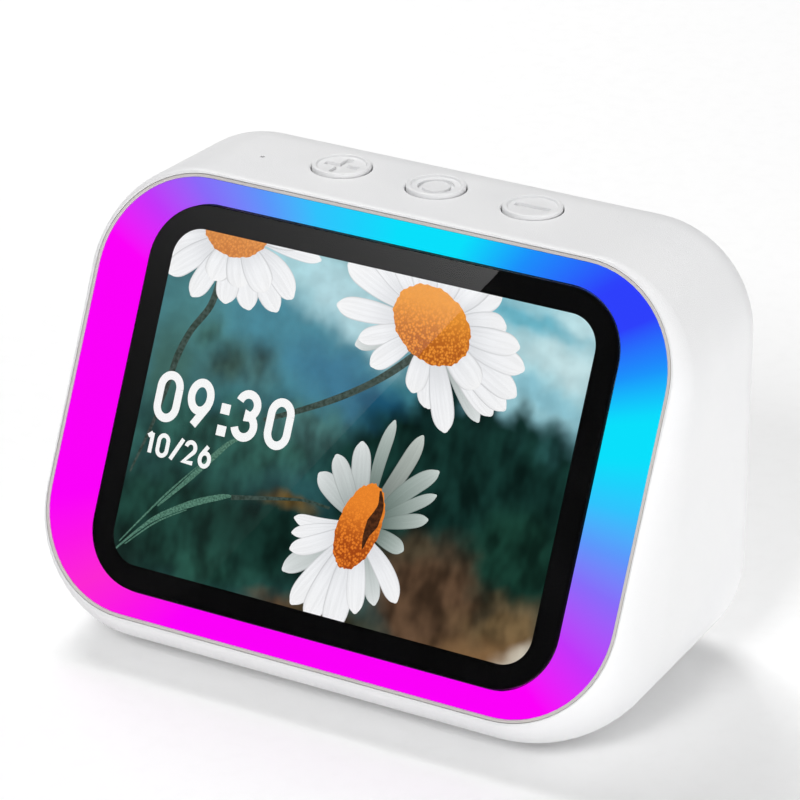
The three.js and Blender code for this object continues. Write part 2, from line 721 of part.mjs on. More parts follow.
function makeUsb() {
  const mouthY = BODY.back - 0.8;
  const rear = mouthY - USB.depth;
  const boardTop = USB.z - USB.height / 2 - GAP;
  const shellBlank = stadium(USB.width, USB.height, rear, mouthY, 0, USB.z);
  const innerWidth = USB.width - 2 * USB.wall;
  const innerHeight = USB.height - 2 * USB.wall;
  const hollow = stadium(innerWidth, innerHeight, rear + 1, mouthY + PAST, 0, USB.z);
  add(housing, "usb_c_socket", cut(shellBlank, hollow), finish.metal);
  const tongue = { width: 6.6, length: 4.8, thick: 0.7 };
  const tongueY = rear + 1 + GAP + tongue.length / 2;
  const blade = box(tongue.width, tongue.length, tongue.thick, 0, tongueY, USB.z);
  add(housing, "usb_c_tongue", blade, finish.black);

  const board = { width: 18, depth: 14, thick: 1.2, ahead: 5.5 };
  const boardY = rear + board.ahead - board.depth / 2;
  const blank = box(board.width, board.depth, board.thick, 0, boardY, boardTop - board.thick / 2);
  const hole = rod(SCREW.clearance, boardTop - 3, boardTop + PAST, ...usbPost, 8);
  add(housing, "usb_board", cut(blank, hole), finish.board);
  const fixing = screw(4).translate(...usbPost, boardTop + SEAM);
  add(housing, "usb_board_screw", fixing, finish.metal);
}

function makeLeads() {
  const leads = { power_lead_red: [finish.red, 3], power_lead_black: [finish.black, 5] };
  for (const [name, [look, x]] of Object.entries(leads)) {
    const route = [
      [x, 25.6, -29.2],
      [x, 21, -27.5],
      [x + 3, 17, -25.5],
      [x + 5, 11.5, -20],
    ];
    add(housing, name, lead(route, 0.6), look);
  }
}

makeRearShell();
makeBase();
makeFrontFrame();
makeScreen();
makeLedBoard();
makeBracket();
makeMainBoard();
buttonPlaces.forEach(makeButton);
makeButtonBoard();
makeSpeaker();
makeUsb();
makeLeads();

export default device;
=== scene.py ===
"""The looks of a small desk display: a leaning picture screen with a lit ring around it, in a white
wedge-shaped body with three push buttons on top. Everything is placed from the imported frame."""

import json
import math

import bmesh
import bpy
from mathutils import Matrix, Vector


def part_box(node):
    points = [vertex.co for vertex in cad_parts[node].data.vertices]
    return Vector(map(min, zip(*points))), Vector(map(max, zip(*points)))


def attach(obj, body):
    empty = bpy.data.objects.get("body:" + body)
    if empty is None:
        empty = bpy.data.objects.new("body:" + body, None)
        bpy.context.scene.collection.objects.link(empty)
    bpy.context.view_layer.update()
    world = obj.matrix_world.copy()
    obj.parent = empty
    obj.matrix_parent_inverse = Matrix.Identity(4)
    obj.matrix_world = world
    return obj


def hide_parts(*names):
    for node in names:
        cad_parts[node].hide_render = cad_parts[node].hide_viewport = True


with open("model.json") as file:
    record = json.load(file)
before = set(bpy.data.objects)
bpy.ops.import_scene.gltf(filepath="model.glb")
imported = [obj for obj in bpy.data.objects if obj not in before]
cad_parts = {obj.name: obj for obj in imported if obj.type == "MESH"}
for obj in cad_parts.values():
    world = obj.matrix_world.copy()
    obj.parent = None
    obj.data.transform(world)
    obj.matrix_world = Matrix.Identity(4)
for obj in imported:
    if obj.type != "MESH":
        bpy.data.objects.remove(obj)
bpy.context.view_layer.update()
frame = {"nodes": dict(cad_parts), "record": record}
nodes = frame["nodes"]

# ---- sizes, in millimetres ----

MM = 0.001
TILT = math.radians(24.3)
RING = (110.0, 76.6, 18.5)
GLASS = (91.1, 67.8, 10.9)
WINDOW = (82.25, 59.15, 5.5)
PANEL = (84.0, 61.0, 4.0)
RIM_GROWN, MOUTH_GROWN, LIP_GROWN = 0.45, 0.7, 0.95
FRONT_GAP = 0.3
MOUTH_DEPTH = 7.5
WALL = 2.2
THROUGH = 4.0  # how deep a cutter reaches from the outside, past the wall

# Heights on the display's axis: 0 is the glass's face, and the front is up.
BAND_FACE, BAND_BACK = -0.05, -1.6
GLASS_BACK = -0.28
BORDER_FACE, BORDER_BACK = -0.31, -0.40
PICTURE_FACE, PICTURE_BACK = -0.72, -1.1
SHELF, CHANNEL, FRAME_BACK = -1.4, -5.5, -7.2
LAYERS = {
    "picture_stems": -0.70, "picture_grass": -0.66, "picture_petals_far": -0.62, "picture_petals_near": -0.54,
    "picture_flower_middles": -0.47, "picture_pit": -0.44, "clock_time": -0.43, "clock_date": -0.42,
}
SHEET = 0.0015  # how far each flat shape of a layer lies over the last
CAD_GLASS = 1.1  # the thickness of the CAD model's cover glass

BODY = {"width": 115.6, "top": 36.0, "bottom": -43.6, "back": 47.4, "back_width": 112.6}
BODY_RADIUS, BACK_RADIUS, BACK_ROUND = 20.0, 19.0, 11.6
LOW_BULGE, LOW_FRONT, LOW_BACK = 0.08, 0.91, 0.98  # the lower corners' radii, as shares of the upper
CHIN_DEPTH, BROW_DEPTH = 17.9, 1.2

BUTTON_RADIUS, BUTTON_PITCH, BUTTON_Y, BUTTON_PROUD = 5.15, 18.7, 29.5, 0.7
BUTTON_GAP, BUTTON_LIP, BUTTON_DISH, MARK_DEPTH = 0.2, 0.3, 0.42, 0.5
BUTTONS = {"plus": -BUTTON_PITCH, "home": 0.0, "minus": BUTTON_PITCH}
MIC, MIC_RADIUS = (-33.0, 26.8), 0.4
COVER = {"width": 56.0, "depth": 26.0, "y": 19.0, "thick": 1.9, "radius": 4.0}
FOOT = {"radius": 3.6, "x": 33.5, "y": (5.9, 32.5), "thick": 1.6, "proud": 0.8}
SPEAKER_Z = -2.0
USB = {"z": -27.5, "width": 8.94, "height": 3.2, "depth": 7.3}
GRILLE_PITCH, GRILLE_RINGS, GRILLE_HOLE = 4.1, 4, 1.0

ARC = 16  # segments to a quarter turn

glass_low, glass_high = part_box("cover_glass")
SCREEN_OUT = Vector((0, -math.cos(TILT), math.sin(TILT)))
CENTRE = (glass_low + glass_high) / 2 + SCREEN_OUT * (CAD_GLASS / 2 * MM)
HOUSING = Matrix.Translation(CENTRE)  # upright, measured from the centre of the screen
DISPLAY = HOUSING @ Matrix.Rotation(math.pi / 2 - TILT, 4, "X")  # X across, Y up the screen, Z out


# ---- mesh helpers ----


def grown(outline, by):
    return (outline[0] + 2 * by, outline[1] + 2 * by, outline[2] + by)


def rounded(outline, z, steps=ARC, centre=(0.0, 0.0)):
    """A counter-clockwise ring of points round a rounded rectangle."""
    width, height, radius = outline
    points = []
    for sx, sy, quarter in ((1, 1, 0), (-1, 1, 1), (-1, -1, 2), (1, -1, 3)):
        for i in range(steps + 1):
            angle = (quarter + i / steps) * math.pi / 2
            x = sx * (width / 2 - radius) + radius * math.cos(angle)
            y = sy * (height / 2 - radius) + radius * math.sin(angle)
            points.append(Vector((centre[0] + x, centre[1] + y, z)))
    return points


def circle(radius, z, steps=64, centre=(0.0, 0.0)):
    return [
        Vector((centre[0] + radius * math.cos(2 * math.pi * i / steps),
                centre[1] + radius * math.sin(2 * math.pi * i / steps), z))
        for i in range(steps)
    ]


def loft(rings, closed=False):
    """Vertices and faces of a skin through equal rings: capped at both ends, or closed on itself."""
    count = len(rings[0])
    verts = [p for ring in rings for p in ring]
    faces = []
    spans = len(rings) if closed else len(rings) - 1
    for i in range(spans):
        a0, b0 = i * count, ((i + 1) % len(rings)) * count
        for j in range(count):
            k = (j + 1) % count
            faces.append((a0 + j, a0 + k, b0 + k, b0 + j))
    if not closed:
        faces.append(tuple(reversed(range(count))))
        faces.append(tuple(range(len(verts) - count, len(verts))))
    return verts, faces


def joined(*parts):
    verts, faces = [], []
    for part_verts, part_faces in parts:
        start = len(verts)
        verts += part_verts
        faces += [tuple(i + start for i in face) for face in part_faces]
    return verts, faces


def moved(part, matrix):
    return [matrix @ v for v in part[0]], part[1]


def box(width, depth, height, x, y, z):
    verts = [
        Vector((x + sx * width / 2, y + sy * depth / 2, z + sz * height / 2))
        for sz in (-1, 1)
        for sx, sy in ((-1, -1), (1, -1), (1, 1), (-1, 1))
    ]
    faces = [(3, 2, 1, 0), (4, 5, 6, 7), (0, 1, 5, 4), (1, 2, 6, 5), (2, 3, 7, 6), (3, 0, 4, 7)]
    return verts, faces


def turned(profile, steps=64, centre=(0.0, 0.0)):
    """A solid of revolution from [radius, height] pairs; it is capped unless the profile is a loop."""
    closed = profile[0] == profile[-1]
    pairs = profile[:-1] if closed else profile
    return loft([circle(r, z, steps, centre) for r, z in pairs], closed)


def arc(cx, cy, rx, ry, start, end, steps=20):
    """Points along an upright oval arc, with angles in degrees."""
    points = []
    for i in range(steps + 1):
        angle = math.radians(start + (end - start) * i / steps)
        points.append((cx + rx * math.cos(angle), cy + ry * math.sin(angle)))
    return points


FACE_BACK = Matrix.Rotation(-math.pi / 2, 4, "X")  # turns +Z to the back, +Y


def added(name, data):
    obj = bpy.data.objects.new(name, data)
    bpy.context.scene.collection.objects.link(obj)
    return obj


def make_mesh(name, part, place=HOUSING):
    verts, faces = part
    mesh = bpy.data.meshes.new(name)
    mesh.from_pydata([place @ (v * MM) for v in verts], [], faces)
    mesh.validate()
    edit = bmesh.new()
    edit.from_mesh(mesh)
    bmesh.ops.remove_doubles(edit, verts=edit.verts, dist=1e-7)
    bmesh.ops.recalc_face_normals(edit, faces=edit.faces)
    edit.to_mesh(mesh)
    edit.free()
    return mesh


def piece(name, part, material, body="housing", stands_for=(), place=HOUSING, cuts=(), sharp=32):
    """A visible piece: a mesh with optional cuts, smooth shading that keeps its edges, and its body."""
    obj = added(name, make_mesh(name, part, place))
    for cut in cuts:
        subtract(obj, cut, place)
    obj.data.materials.clear()
    obj.data.materials.append(material)
    finish_shading(obj, sharp)
    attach(obj, body)
    if stands_for:
        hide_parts(*stands_for)
    return obj


def subtract(obj, part, place):
    tool = added("tool", make_mesh("tool", part, place))
    cut = obj.modifiers.new("cut", "BOOLEAN")
    cut.operation, cut.solver, cut.object = "DIFFERENCE", "EXACT", tool
    graph = bpy.context.evaluated_depsgraph_get()
    mesh = bpy.data.meshes.new_from_object(obj.evaluated_get(graph), depsgraph=graph)
    obj.modifiers.clear()
    obj.data = mesh
    obj.data.name = obj.name
    bpy.data.objects.remove(tool)


def finish_shading(obj, sharp):
    obj.data.shade_smooth()
    obj.data.set_sharp_from_angle(angle=math.radians(sharp))
    weighted = obj.modifiers.new("weighted", "WEIGHTED_NORMAL")
    weighted.keep_sharp = True
    weighted.weight = 80


# ---- materials ----


PURE_WHITE = (1.0, 1.0, 1.0, 1.0)


def srgb(r, g, b):
    """A linear colour with alpha from 0-255 screen values."""
    def linear(v):
        v /= 255
        return v / 12.92 if v <= 0.04045 else ((v + 0.055) / 1.055) ** 2.4

    return (linear(r), linear(g), linear(b), 1.0)


class Nodes:
    """A material's or the world's node tree, with short calls for the nodes that the looks use."""

    def __init__(self, name, store=bpy.data.materials, out="ShaderNodeOutputMaterial"):
        self.owner = store.new(name)
        self.owner.use_nodes = True
        self.tree = self.owner.node_tree
        self.tree.nodes.clear()
        self.out = self.new(out)

    def new(self, kind, inputs=(), **settings):
        """A node with its settings and inputs; an input is a socket to link or a plain value."""
        node = self.tree.nodes.new(kind)
        for key, value in settings.items():
            setattr(node, key, value)
        for key, value in dict(inputs).items():
            self.put(node.inputs[key], value)
        return node

    def put(self, socket, value):
        if isinstance(value, bpy.types.NodeSocket):
            self.tree.links.new(value, socket)
        else:
            socket.default_value = value

    def math(self, operation, a, b=0.0, clamp=False):
        return self.new("ShaderNodeMath", {0: a, 1: b}, operation=operation, use_clamp=clamp).outputs[0]

    def vector(self, operation, a, b=(0.0, 0.0, 0.0), out=0):
        return self.new("ShaderNodeVectorMath", {0: a, 1: b}, operation=operation).outputs[out]

    def mix(self, factor, a, b, blend="MIX"):
        sockets = {0: factor, 6: a, 7: b}
        return self.new("ShaderNodeMix", sockets, data_type="RGBA", blend_type=blend).outputs[2]

    def noise(self, vector, scale, detail=2.0, roughness=0.5, out="Fac"):
        sockets = {"Vector": vector, "Scale": scale, "Detail": detail, "Roughness": roughness}
        return self.new("ShaderNodeTexNoise", sockets).outputs[out]

    def waves(self, place, scale, direction):
        sockets = {"Vector": place, "Scale": scale}
        return self.new("ShaderNodeTexWave", sockets, bands_direction=direction).outputs["Fac"]

    def smooth(self, value, low, high, to_low=0.0, to_high=1.0):
        sockets = {"Value": value, "From Min": low, "From Max": high, "To Min": to_low, "To Max": to_high}
        return self.new("ShaderNodeMapRange", sockets, interpolation_type="SMOOTHSTEP").outputs["Result"]

    def ramp(self, value, stops):
        node = self.new("ShaderNodeValToRGB", {0: value})
        elements = node.color_ramp.elements
        while len(elements) > 1:
            elements.remove(elements[-1])
        for i, (position, colour) in enumerate(stops):
            element = elements[0] if i == 0 else elements.new(position)
            element.position = position
            element.color = colour
        return node.outputs[0]

    def bump(self, height, distance):
        sockets = {"Height": height, "Distance": distance, "Strength": 1.0}
        return self.new("ShaderNodeBump", sockets).outputs["Normal"]

    def place(self):
        """Where a point is in the row frame at rest."""
        return self.new("ShaderNodeTexCoord").outputs["Object"]

    def uv(self, name):
        return self.new("ShaderNodeUVMap", uv_map=name).outputs[0]

    def tone(self):
        return self.new("ShaderNodeAttribute", attribute_name="tone").outputs["Color"]

    def split(self, vector):
        node = self.new("ShaderNodeSeparateXYZ", {0: vector})
        return node.outputs["X"], node.outputs["Y"]

    def grey(self, value):
        return self.new("ShaderNodeCombineXYZ", {0: value, 1: value, 2: value}).outputs[0]

    def finish(self, shader):
        self.put(self.out.inputs["Surface"], shader.outputs[0])
        return self.owner

    def principled(self, **values):
        """The finished material, with these values on a principled shader."""
        sockets = {key.replace("_", " "): value for key, value in values.items()}
        return self.finish(self.new("ShaderNodeBsdfPrincipled", sockets))


def moulded(name, light, dark, roughness, grain=0.00006, metallic=0.0):
    """Moulded plastic, rubber or metal: slight tone variation, uneven gloss and a fine surface grain."""
    n = Nodes(name)
    place = n.place()
    colour = n.mix(n.smooth(n.noise(place, 45.0, 3.0), 0.35, 0.65), light, dark)
    gloss = n.smooth(n.noise(place, 420.0, 3.0), 0.3, 0.7, roughness - 0.03, roughness + 0.03)
    normal = n.bump(n.noise(place, 5200.0, 2.0, 0.6), grain)
    return n.principled(Base_Color=colour, Roughness=gloss, Metallic=metallic, Normal=normal)


def board_material():
    n = Nodes("circuit_board")
    tracks = n.new("ShaderNodeTexBrick", {
        "Vector": n.place(), "Scale": 260.0, "Mortar Size": 0.08,
        "Color1": srgb(24, 84, 52), "Color2": srgb(28, 92, 58), "Mortar": srgb(46, 122, 74),
    }, offset=0.5)
    return n.principled(Base_Color=tracks.outputs["Color"], Roughness=0.4)


def film_material():
    n = Nodes("ribbon_film")
    bands = n.smooth(n.waves(n.place(), 600.0, "X"), 0.35, 0.65)
    return n.principled(Base_Color=n.mix(bands, srgb(178, 104, 34), srgb(214, 142, 60)), Roughness=0.3)


MAGENTA, PINK, VIOLET = (250, 2, 248), (251, 40, 210), (136, 106, 248)
BLUE, LIGHT_BLUE, CYAN = (46, 64, 250), (48, 194, 251), (10, 222, 250)
# The band's colours, by share of a turn about the screen's centre, from the right and over the top.
RING_STOPS = (
    (0.000, LIGHT_BLUE), (0.025, CYAN), (0.045, CYAN), (0.090, BLUE), (0.112, BLUE), (0.195, CYAN),
    (0.245, CYAN), (0.312, LIGHT_BLUE), (0.378, VIOLET), (0.430, MAGENTA), (0.560, MAGENTA),
    (0.605, PINK), (0.655, MAGENTA), (0.895, MAGENTA), (0.956, VIOLET), (1.000, LIGHT_BLUE),
)


def ring_material():
    """The diffuser: its colour runs round the band with the angle about the screen's centre."""
    n = Nodes("light_diffuser")
    x, y = n.split(n.vector("SUBTRACT", n.uv("picture"), (0.5, 0.5, 0.0)))
    turn = n.math("WRAP", n.math("DIVIDE", n.math("ARCTAN2", y, x), 2 * math.pi), 1.0)
    turn.node.inputs[2].default_value = 0.0
    stops = [(RING_STOPS[0][0], srgb(*RING_STOPS[0][1]))]
    for (at, rgb), (next_at, next_rgb) in zip(RING_STOPS, RING_STOPS[1:]):
        if rgb != next_rgb:  # a stop halfway, mixed as the eye sees it
            stops.append(((at + next_at) / 2, srgb(*((a + b) / 2 for a, b in zip(rgb, next_rgb)))))
        stops.append((next_at, srgb(*next_rgb)))
    colour = n.ramp(turn, stops)
    return n.principled(
        Base_Color=n.mix(1.0, colour, (0.04, 0.04, 0.04, 1.0), "MULTIPLY"),
        Emission_Color=colour,
        Emission_Strength=0.97,
        Specular_IOR_Level=0.0,
        Roughness=n.smooth(n.noise(n.place(), 900.0), 0.3, 0.7, 0.5, 0.6),
    )


def glass_material():
    n = Nodes("cover_glass")
    smudge = n.smooth(n.noise(n.place(), 60.0, 3.0), 0.4, 0.7, 0.0, 0.012)
    return n.principled(Base_Color=PURE_WHITE, Roughness=smudge, IOR=1.5, Transmission_Weight=1.0)


def ink_material():
    """Black print under the glass, with its faint speckle."""
    n = Nodes("black_print")
    speckle = n.smooth(n.noise(n.place(), 3000.0), 0.3, 0.7)
    colour = n.mix(speckle, srgb(5, 5, 6), srgb(11, 11, 12))
    return n.principled(Base_Color=colour, Roughness=0.5, Specular_IOR_Level=0.05)


def glow(n, colour):
    """A lit picture element: it shines and takes almost no light from the room."""
    return n.principled(Base_Color=(0.0, 0.0, 0.0, 1.0), Emission_Color=colour, Emission_Strength=1.0,
                        Specular_IOR_Level=0.0, Roughness=0.6)


# Soft patches of the picture's out-of-focus background: centre, half sizes, turn in degrees, softness
# from the middle (0) to the edge (1), and colour. Later patches lie over earlier ones, and those darker
# than FOLIAGE have leaves.
FOLIAGE = 100
PATCHES = (
    ((0, 8), (60, 24), 0, 0.3, (62, 124, 138)),
    ((-26, 16), (22, 12), 10, 0.3, (74, 132, 136)),
    ((30, 27), (30, 19), -12, 0.5, (160, 208, 218)),
    ((40, 28), (9, 6), 0, 0.3, (190, 226, 232)),
    ((27, 27), (16, 2.6), -14, 0.2, (110, 182, 200)),
    ((37, 20.5), (15, 4.2), -10, 0.1, (196, 226, 230)),
    ((33, 15.5), (10, 2.0), -12, 0.2, (140, 194, 208)),
    ((-14, 25), (18, 8.5), -14, 0.45, (172, 216, 224)),
    ((-4, 21), (13, 5), -36, 0.4, (176, 214, 222)),
    ((-12, 13), (20, 8.5), -24, 0.5, (70, 136, 154)),
    ((-4, 9), (13, 6), -26, 0.3, (56, 118, 146)),
    ((5, 6), (8, 4.5), -30, 0.3, (28, 84, 112)),
    ((-26, 8), (8.0, 5.0), 30, 0.0, (48, 76, 70)),
    ((-19.5, 9.5), (5.0, 6.5), 0, 0.0, (56, 92, 92)),
    ((-31, 13), (3, 4), 0, 0.1, (54, 96, 92)),
    ((-37, 4), (7, 12), 0, 0.2, (62, 104, 98)),
    ((-22, -4), (32, 9), 6, 0.35, (42, 86, 78)),
    ((-10, 1), (12, 4.5), -4, 0.2, (56, 96, 94)),
    ((27, -6), (31, 16.4), 0, 0.86, (15, 44, 39)),
    ((23.5, 9.5), (6, 3.4), 80, 0.5, (15, 42, 38)),
    ((30.5, 9.0), (6, 3.0), 96, 0.3, (18, 48, 44)),
    ((15, 10), (7, 4.2), 60, 0.4, (12, 38, 36)),
    ((37, 8), (3, 5), 0, 0.2, (34, 74, 72)),
    ((-30, -20), (30, 14), 8, 0.35, (24, 58, 50)),
    ((-8, -20), (16, 11), 0, 0.3, (15, 42, 36)),
    ((-22, -27), (14, 5), 0, 0.1, (30, 68, 58)),
    ((-9, -12.5), (6, 2.0), 4, 0.1, (98, 80, 44)),
    ((21, -24), (13, 13), 24, 0.5, (80, 60, 44)),
    ((17, -14), (3.2, 4), -16, 0.2, (64, 56, 42)),
    ((35, -12), (10, 9), 0, 0.4, (19, 52, 42)),
    ((-4, -30), (10, 3), 0, 0.1, (92, 66, 44)),
    ((36, -24.5), (11, 6), 10, 0.3, (98, 80, 54)),
    ((3, -30), (11, 4), 0, 0.3, (56, 52, 36)),
    ((-41, -29), (11, 7), 20, 0.2, (16, 34, 30)),
    ((34, -30.5), (18, 5.5), 14, 0.3, (126, 96, 64)),
    ((41.5, -29), (8, 4.5), 32, 0.4, (200, 192, 176)),
)


def background_material():
    n = Nodes("screen_background")
    flat = n.vector("MULTIPLY", n.vector("SUBTRACT", n.uv("picture"), (0.5, 0.5, 0.0)), (100.0, 100.0, 0.0))
    wobble = n.vector("SUBTRACT", n.noise(flat, 0.16, out="Color"), (0.5, 0.5, 0.5))
    at = n.vector("ADD", flat, n.vector("MULTIPLY", wobble, (6.0, 6.0, 0.0)))
    trees = n.noise(n.vector("MULTIPLY", flat, (1.0, 0.6, 1.0)), 0.2, 2.0, 0.55)
    leaves = n.grey(n.smooth(trees, 0.3, 0.7, 0.45, 1.6))
    colour = srgb(52, 96, 96)
    for (x, y), (half_x, half_y), turn, solid, rgb in PATCHES:
        place = n.new("ShaderNodeMapping", {
            "Vector": at, "Location": (x, y, 0.0), "Rotation": (0.0, 0.0, math.radians(turn)),
            "Scale": (half_x, half_y, 1.0),
        }, vector_type="TEXTURE")
        away = n.vector("LENGTH", place.outputs[0], out=1)
        shown = srgb(*rgb)
        if max(rgb) < FOLIAGE:
            shown = n.mix(1.0, shown, leaves, "MULTIPLY")
        colour = n.mix(n.smooth(away, min(1.25, 2 - solid), solid), colour, shown)
    mottle = n.grey(n.smooth(n.noise(flat, 0.3), 0.3, 0.7, 0.92, 1.08))
    return glow(n, n.mix(1.0, colour, mottle, "MULTIPLY"))


def petal_material():
    """White petals: long grooves, a soft grey towards the base, and a fine dark edge."""
    n = Nodes("petals")
    uv = n.uv("petal")
    across, along = n.split(uv)
    groove = n.smooth(n.noise(n.vector("MULTIPLY", uv, (9.0, 0.9, 1.0)), 1.0), 0.35, 0.62, 0.93, 1.0)
    side = n.math("ABSOLUTE", n.math("SUBTRACT", n.math("MULTIPLY", n.math("FRACT", across), 2.0), 1.0))
    edge = n.smooth(side, 0.84, 1.0, 1.0, 0.72)
    base = n.smooth(along, 0.0, 0.4, 0.85, 1.0)
    shade = n.grey(n.math("MULTIPLY", n.math("MULTIPLY", groove, edge), base))
    return glow(n, n.mix(1.0, n.tone(), shade, "MULTIPLY"))


def disc_material():
    """A flower's middle: packed florets, bright orange above and darker towards its lower edge."""
    n = Nodes("flower_middles")
    tone = n.tone()
    depth, up = n.split(n.uv("petal"))
    florets = n.new("ShaderNodeTexVoronoi", {"Vector": n.uv("picture"), "Scale": 215.0}, feature="F1")
    pit = n.smooth(florets.outputs["Distance"], 0.2, 0.7)
    low = n.smooth(up, 0.8, 0.2, 0.12, 1.0)
    rough = n.math("MULTIPLY", n.math("MULTIPLY", pit, low), depth, clamp=True)
    dark = n.mix(0.85, tone, srgb(146, 50, 14))
    colour = n.mix(n.math("MULTIPLY", low, 0.3), tone, srgb(222, 100, 30))
    return glow(n, n.mix(rough, colour, dark))


def plain_glow(name, light, dark, scale=150.0):
    """A stem, leaf or figure in the picture, with a soft mottle along it."""
    n = Nodes(name)
    mottle = n.smooth(n.noise(n.uv("picture"), scale), 0.35, 0.65)
    return glow(n, n.mix(mottle, light, dark))


def cloth_material():
    n = Nodes("speaker_cloth")
    place = n.place()
    weave = n.math("MULTIPLY", n.waves(place, 900.0, "X"), n.waves(place, 900.0, "Z"))
    colour = n.mix(weave, srgb(22, 22, 24), srgb(58, 58, 62))
    return n.principled(Base_Color=colour, Roughness=0.85, Normal=n.bump(weave, 0.0001))


SHELL_WHITE = (0.80, 0.80, 0.805, 1.0), (0.785, 0.787, 0.795, 1.0)
METAL = (0.00006, 1.0)
LOOKS = {name: moulded(name, *values) for name, values in {
    "white_shell": (*SHELL_WHITE, 0.42),
    "button_white": (*SHELL_WHITE, 0.34),
    # rim_white's beige grey is painted shade: it stands in for the shade of the narrow groove between the
    # light band and the shell.
    "rim_white": ((0.60, 0.57, 0.55, 1.0), (0.56, 0.53, 0.51, 1.0), 0.4),
    "lcd_glass": (srgb(40, 62, 70), srgb(34, 54, 62), 0.2),
    "sheet_metal": (srgb(186, 188, 192), srgb(170, 172, 178), 0.34, *METAL),
    "plated_can": (srgb(196, 197, 199), srgb(180, 181, 184), 0.25, *METAL),
    "screw_steel": (srgb(168, 169, 172), srgb(148, 150, 154), 0.3, *METAL),
    "contact_gold": (srgb(214, 172, 88), srgb(196, 152, 70), 0.25, *METAL),
    "magnet_steel": (srgb(120, 122, 126), srgb(104, 106, 110), 0.4, *METAL),
    "led_package": (srgb(240, 234, 214), srgb(228, 220, 196), 0.4),
    "grey_rubber": (srgb(66, 67, 70), srgb(54, 55, 58), 0.8, 0.0001),
    "black_plastic": (srgb(26, 27, 29), srgb(20, 21, 22), 0.5),
    "cone_paper": (srgb(44, 41, 38), srgb(34, 32, 30), 0.9, 0.0002),
    "red_wire": (srgb(180, 44, 36), srgb(160, 36, 30), 0.45),
    "black_wire": (srgb(28, 28, 30), srgb(20, 20, 22), 0.45),
}.items()}
ink = ink_material()
LOOKS.update(circuit_board=board_material(), ribbon_film=film_material(), cover_glass=ink,
             grey_frame=LOOKS["rim_white"], light_diffuser=LOOKS["rim_white"])
for entry in frame["record"]["subparts"]:
    materials = nodes[entry["node"]].data.materials
    materials.clear()
    materials.append(LOOKS[entry["material_slot"]])


# ---- body shell ----

STRAIGHT, LENGTHS = 6, 10  # spans of a straight run between two corners, and of the walls front to back


def section_ring(half_width, top, bottom, radius_x, radius_z, y_low, y_high, low=1.0):
    """A ring of points in a plane that leans from y_low at the section's foot to y_high at its top.

    The two lower corners have the upper corners' radii times low.
    """
    bare = []
    for side, quarter in ((1, 0), (-1, 1), (-1, 2), (1, 3)):
        scale = 1.0 if quarter < 2 else low
        rx, rz = radius_x * scale, radius_z * scale
        z0 = top - rz if quarter < 2 else bottom + rz
        for i in range(ARC + 1):
            angle = (quarter + i / ARC) * math.pi / 2
            bare.append((side * (half_width - rx) + rx * math.cos(angle), z0 + rz * math.sin(angle)))
    points = []
    for i, (x, z) in enumerate(bare):
        points.append((x, z))
        if i % (ARC + 1) == ARC:
            nx, nz = bare[(i + 1) % len(bare)]
            for k in range(1, STRAIGHT):
                points.append((x + (nx - x) * k / STRAIGHT, z + (nz - z) * k / STRAIGHT))
    slope = (y_high - y_low) / (top - bottom)
    return [Vector((x, y_low + slope * (z - bottom), z)) for x, z in points]


def lerp(a, b, t):
    return a + (b - a) * t


def quarter_turn():
    """The angles of a quarter turn, in even steps."""
    return [i / ARC * math.pi / 2 for i in range(ARC + 1)]


def body_form(inset=0.0, start=0.0):
    """The body's outer form, or with an inset the form of its hollow, from the screen to the back."""
    rings = []
    lip_w, lip_h, lip_r = grown(RING, LIP_GROWN)
    lip_z = lip_h / 2 * math.cos(TILT)
    for angle in quarter_turn():
        out, run = math.sin(angle), 1 - math.cos(angle)
        half_width = lerp(lip_w, BODY["width"], out) / 2 - inset
        top, bottom = lerp(lip_z, BODY["top"], out) - inset, lerp(-lip_z, BODY["bottom"], out) + inset
        radii = [lerp(lip_r * squash, BODY_RADIUS, out) - inset for squash in (1, math.cos(TILT))]
        y_low = (inset - lip_z) * math.tan(TILT) + start + CHIN_DEPTH * run
        y_high = (lip_z - inset) * math.tan(TILT) + start + BROW_DEPTH * run
        low = lerp(1.0, LOW_FRONT, out) + LOW_BULGE * math.sin(math.pi * out)
        rings.append(section_ring(half_width, top, bottom, *radii, y_low, y_high, low))
    back = []
    rounding = BACK_ROUND - inset
    for angle in quarter_turn():
        pulled = inset + rounding * (1 - math.cos(angle))
        radius = BACK_RADIUS - pulled
        y = BODY["back"] - inset - rounding * (1 - math.sin(angle))
        back.append(section_ring(BODY["back_width"] / 2 - pulled, BODY["top"] - pulled,
                                 BODY["bottom"] + pulled, radius, radius, y, y, LOW_BACK))
    for k in range(1, LENGTHS):
        rings.append([a.lerp(b, k / LENGTHS) for a, b in zip(rings[ARC], back[0])])
    return loft([list(reversed(ring)) for ring in rings + back])


def plate(outline, low, high, centre=(0.0, 0.0), steps=ARC):
    return loft([rounded(outline, low, steps, centre), rounded(outline, high, steps, centre)])


def stadium_hole(width, height, low, high, z, lip):
    """A slot through the back wall with rounded ends, opening out by lip at its mouth."""
    profile = [(0.0, low), (0.0, high - lip)]
    profile += arc(lip, high - lip, -lip, lip, 10, 80, 5)
    profile.append((profile[-1][0], high + 1))
    rings = [rounded((width + 2 * grow, height + 2 * grow, height / 2 + grow - 0.01), y, 10)
             for grow, y in profile]
    return moved(loft(rings), Matrix.Translation((0, 0, z)) @ FACE_BACK)


def well(radius, lip, top, depth, centre, steps=72):
    """A round hole down through the top, with a softly rounded mouth."""
    profile = [(radius, top - depth), (radius, top - lip)]
    profile += arc(radius + lip, top - lip, -lip, lip, 12, 78, 6)
    profile.append((profile[-1][0], top + 1))
    return turned(profile, steps, centre)


def grille_places():
    for ring in range(GRILLE_RINGS):
        count = max(1, 6 * ring)
        for i in range(count):
            angle = 2 * math.pi * i / count
            yield ring * GRILLE_PITCH * math.cos(angle), SPEAKER_Z + ring * GRILLE_PITCH * math.sin(angle)


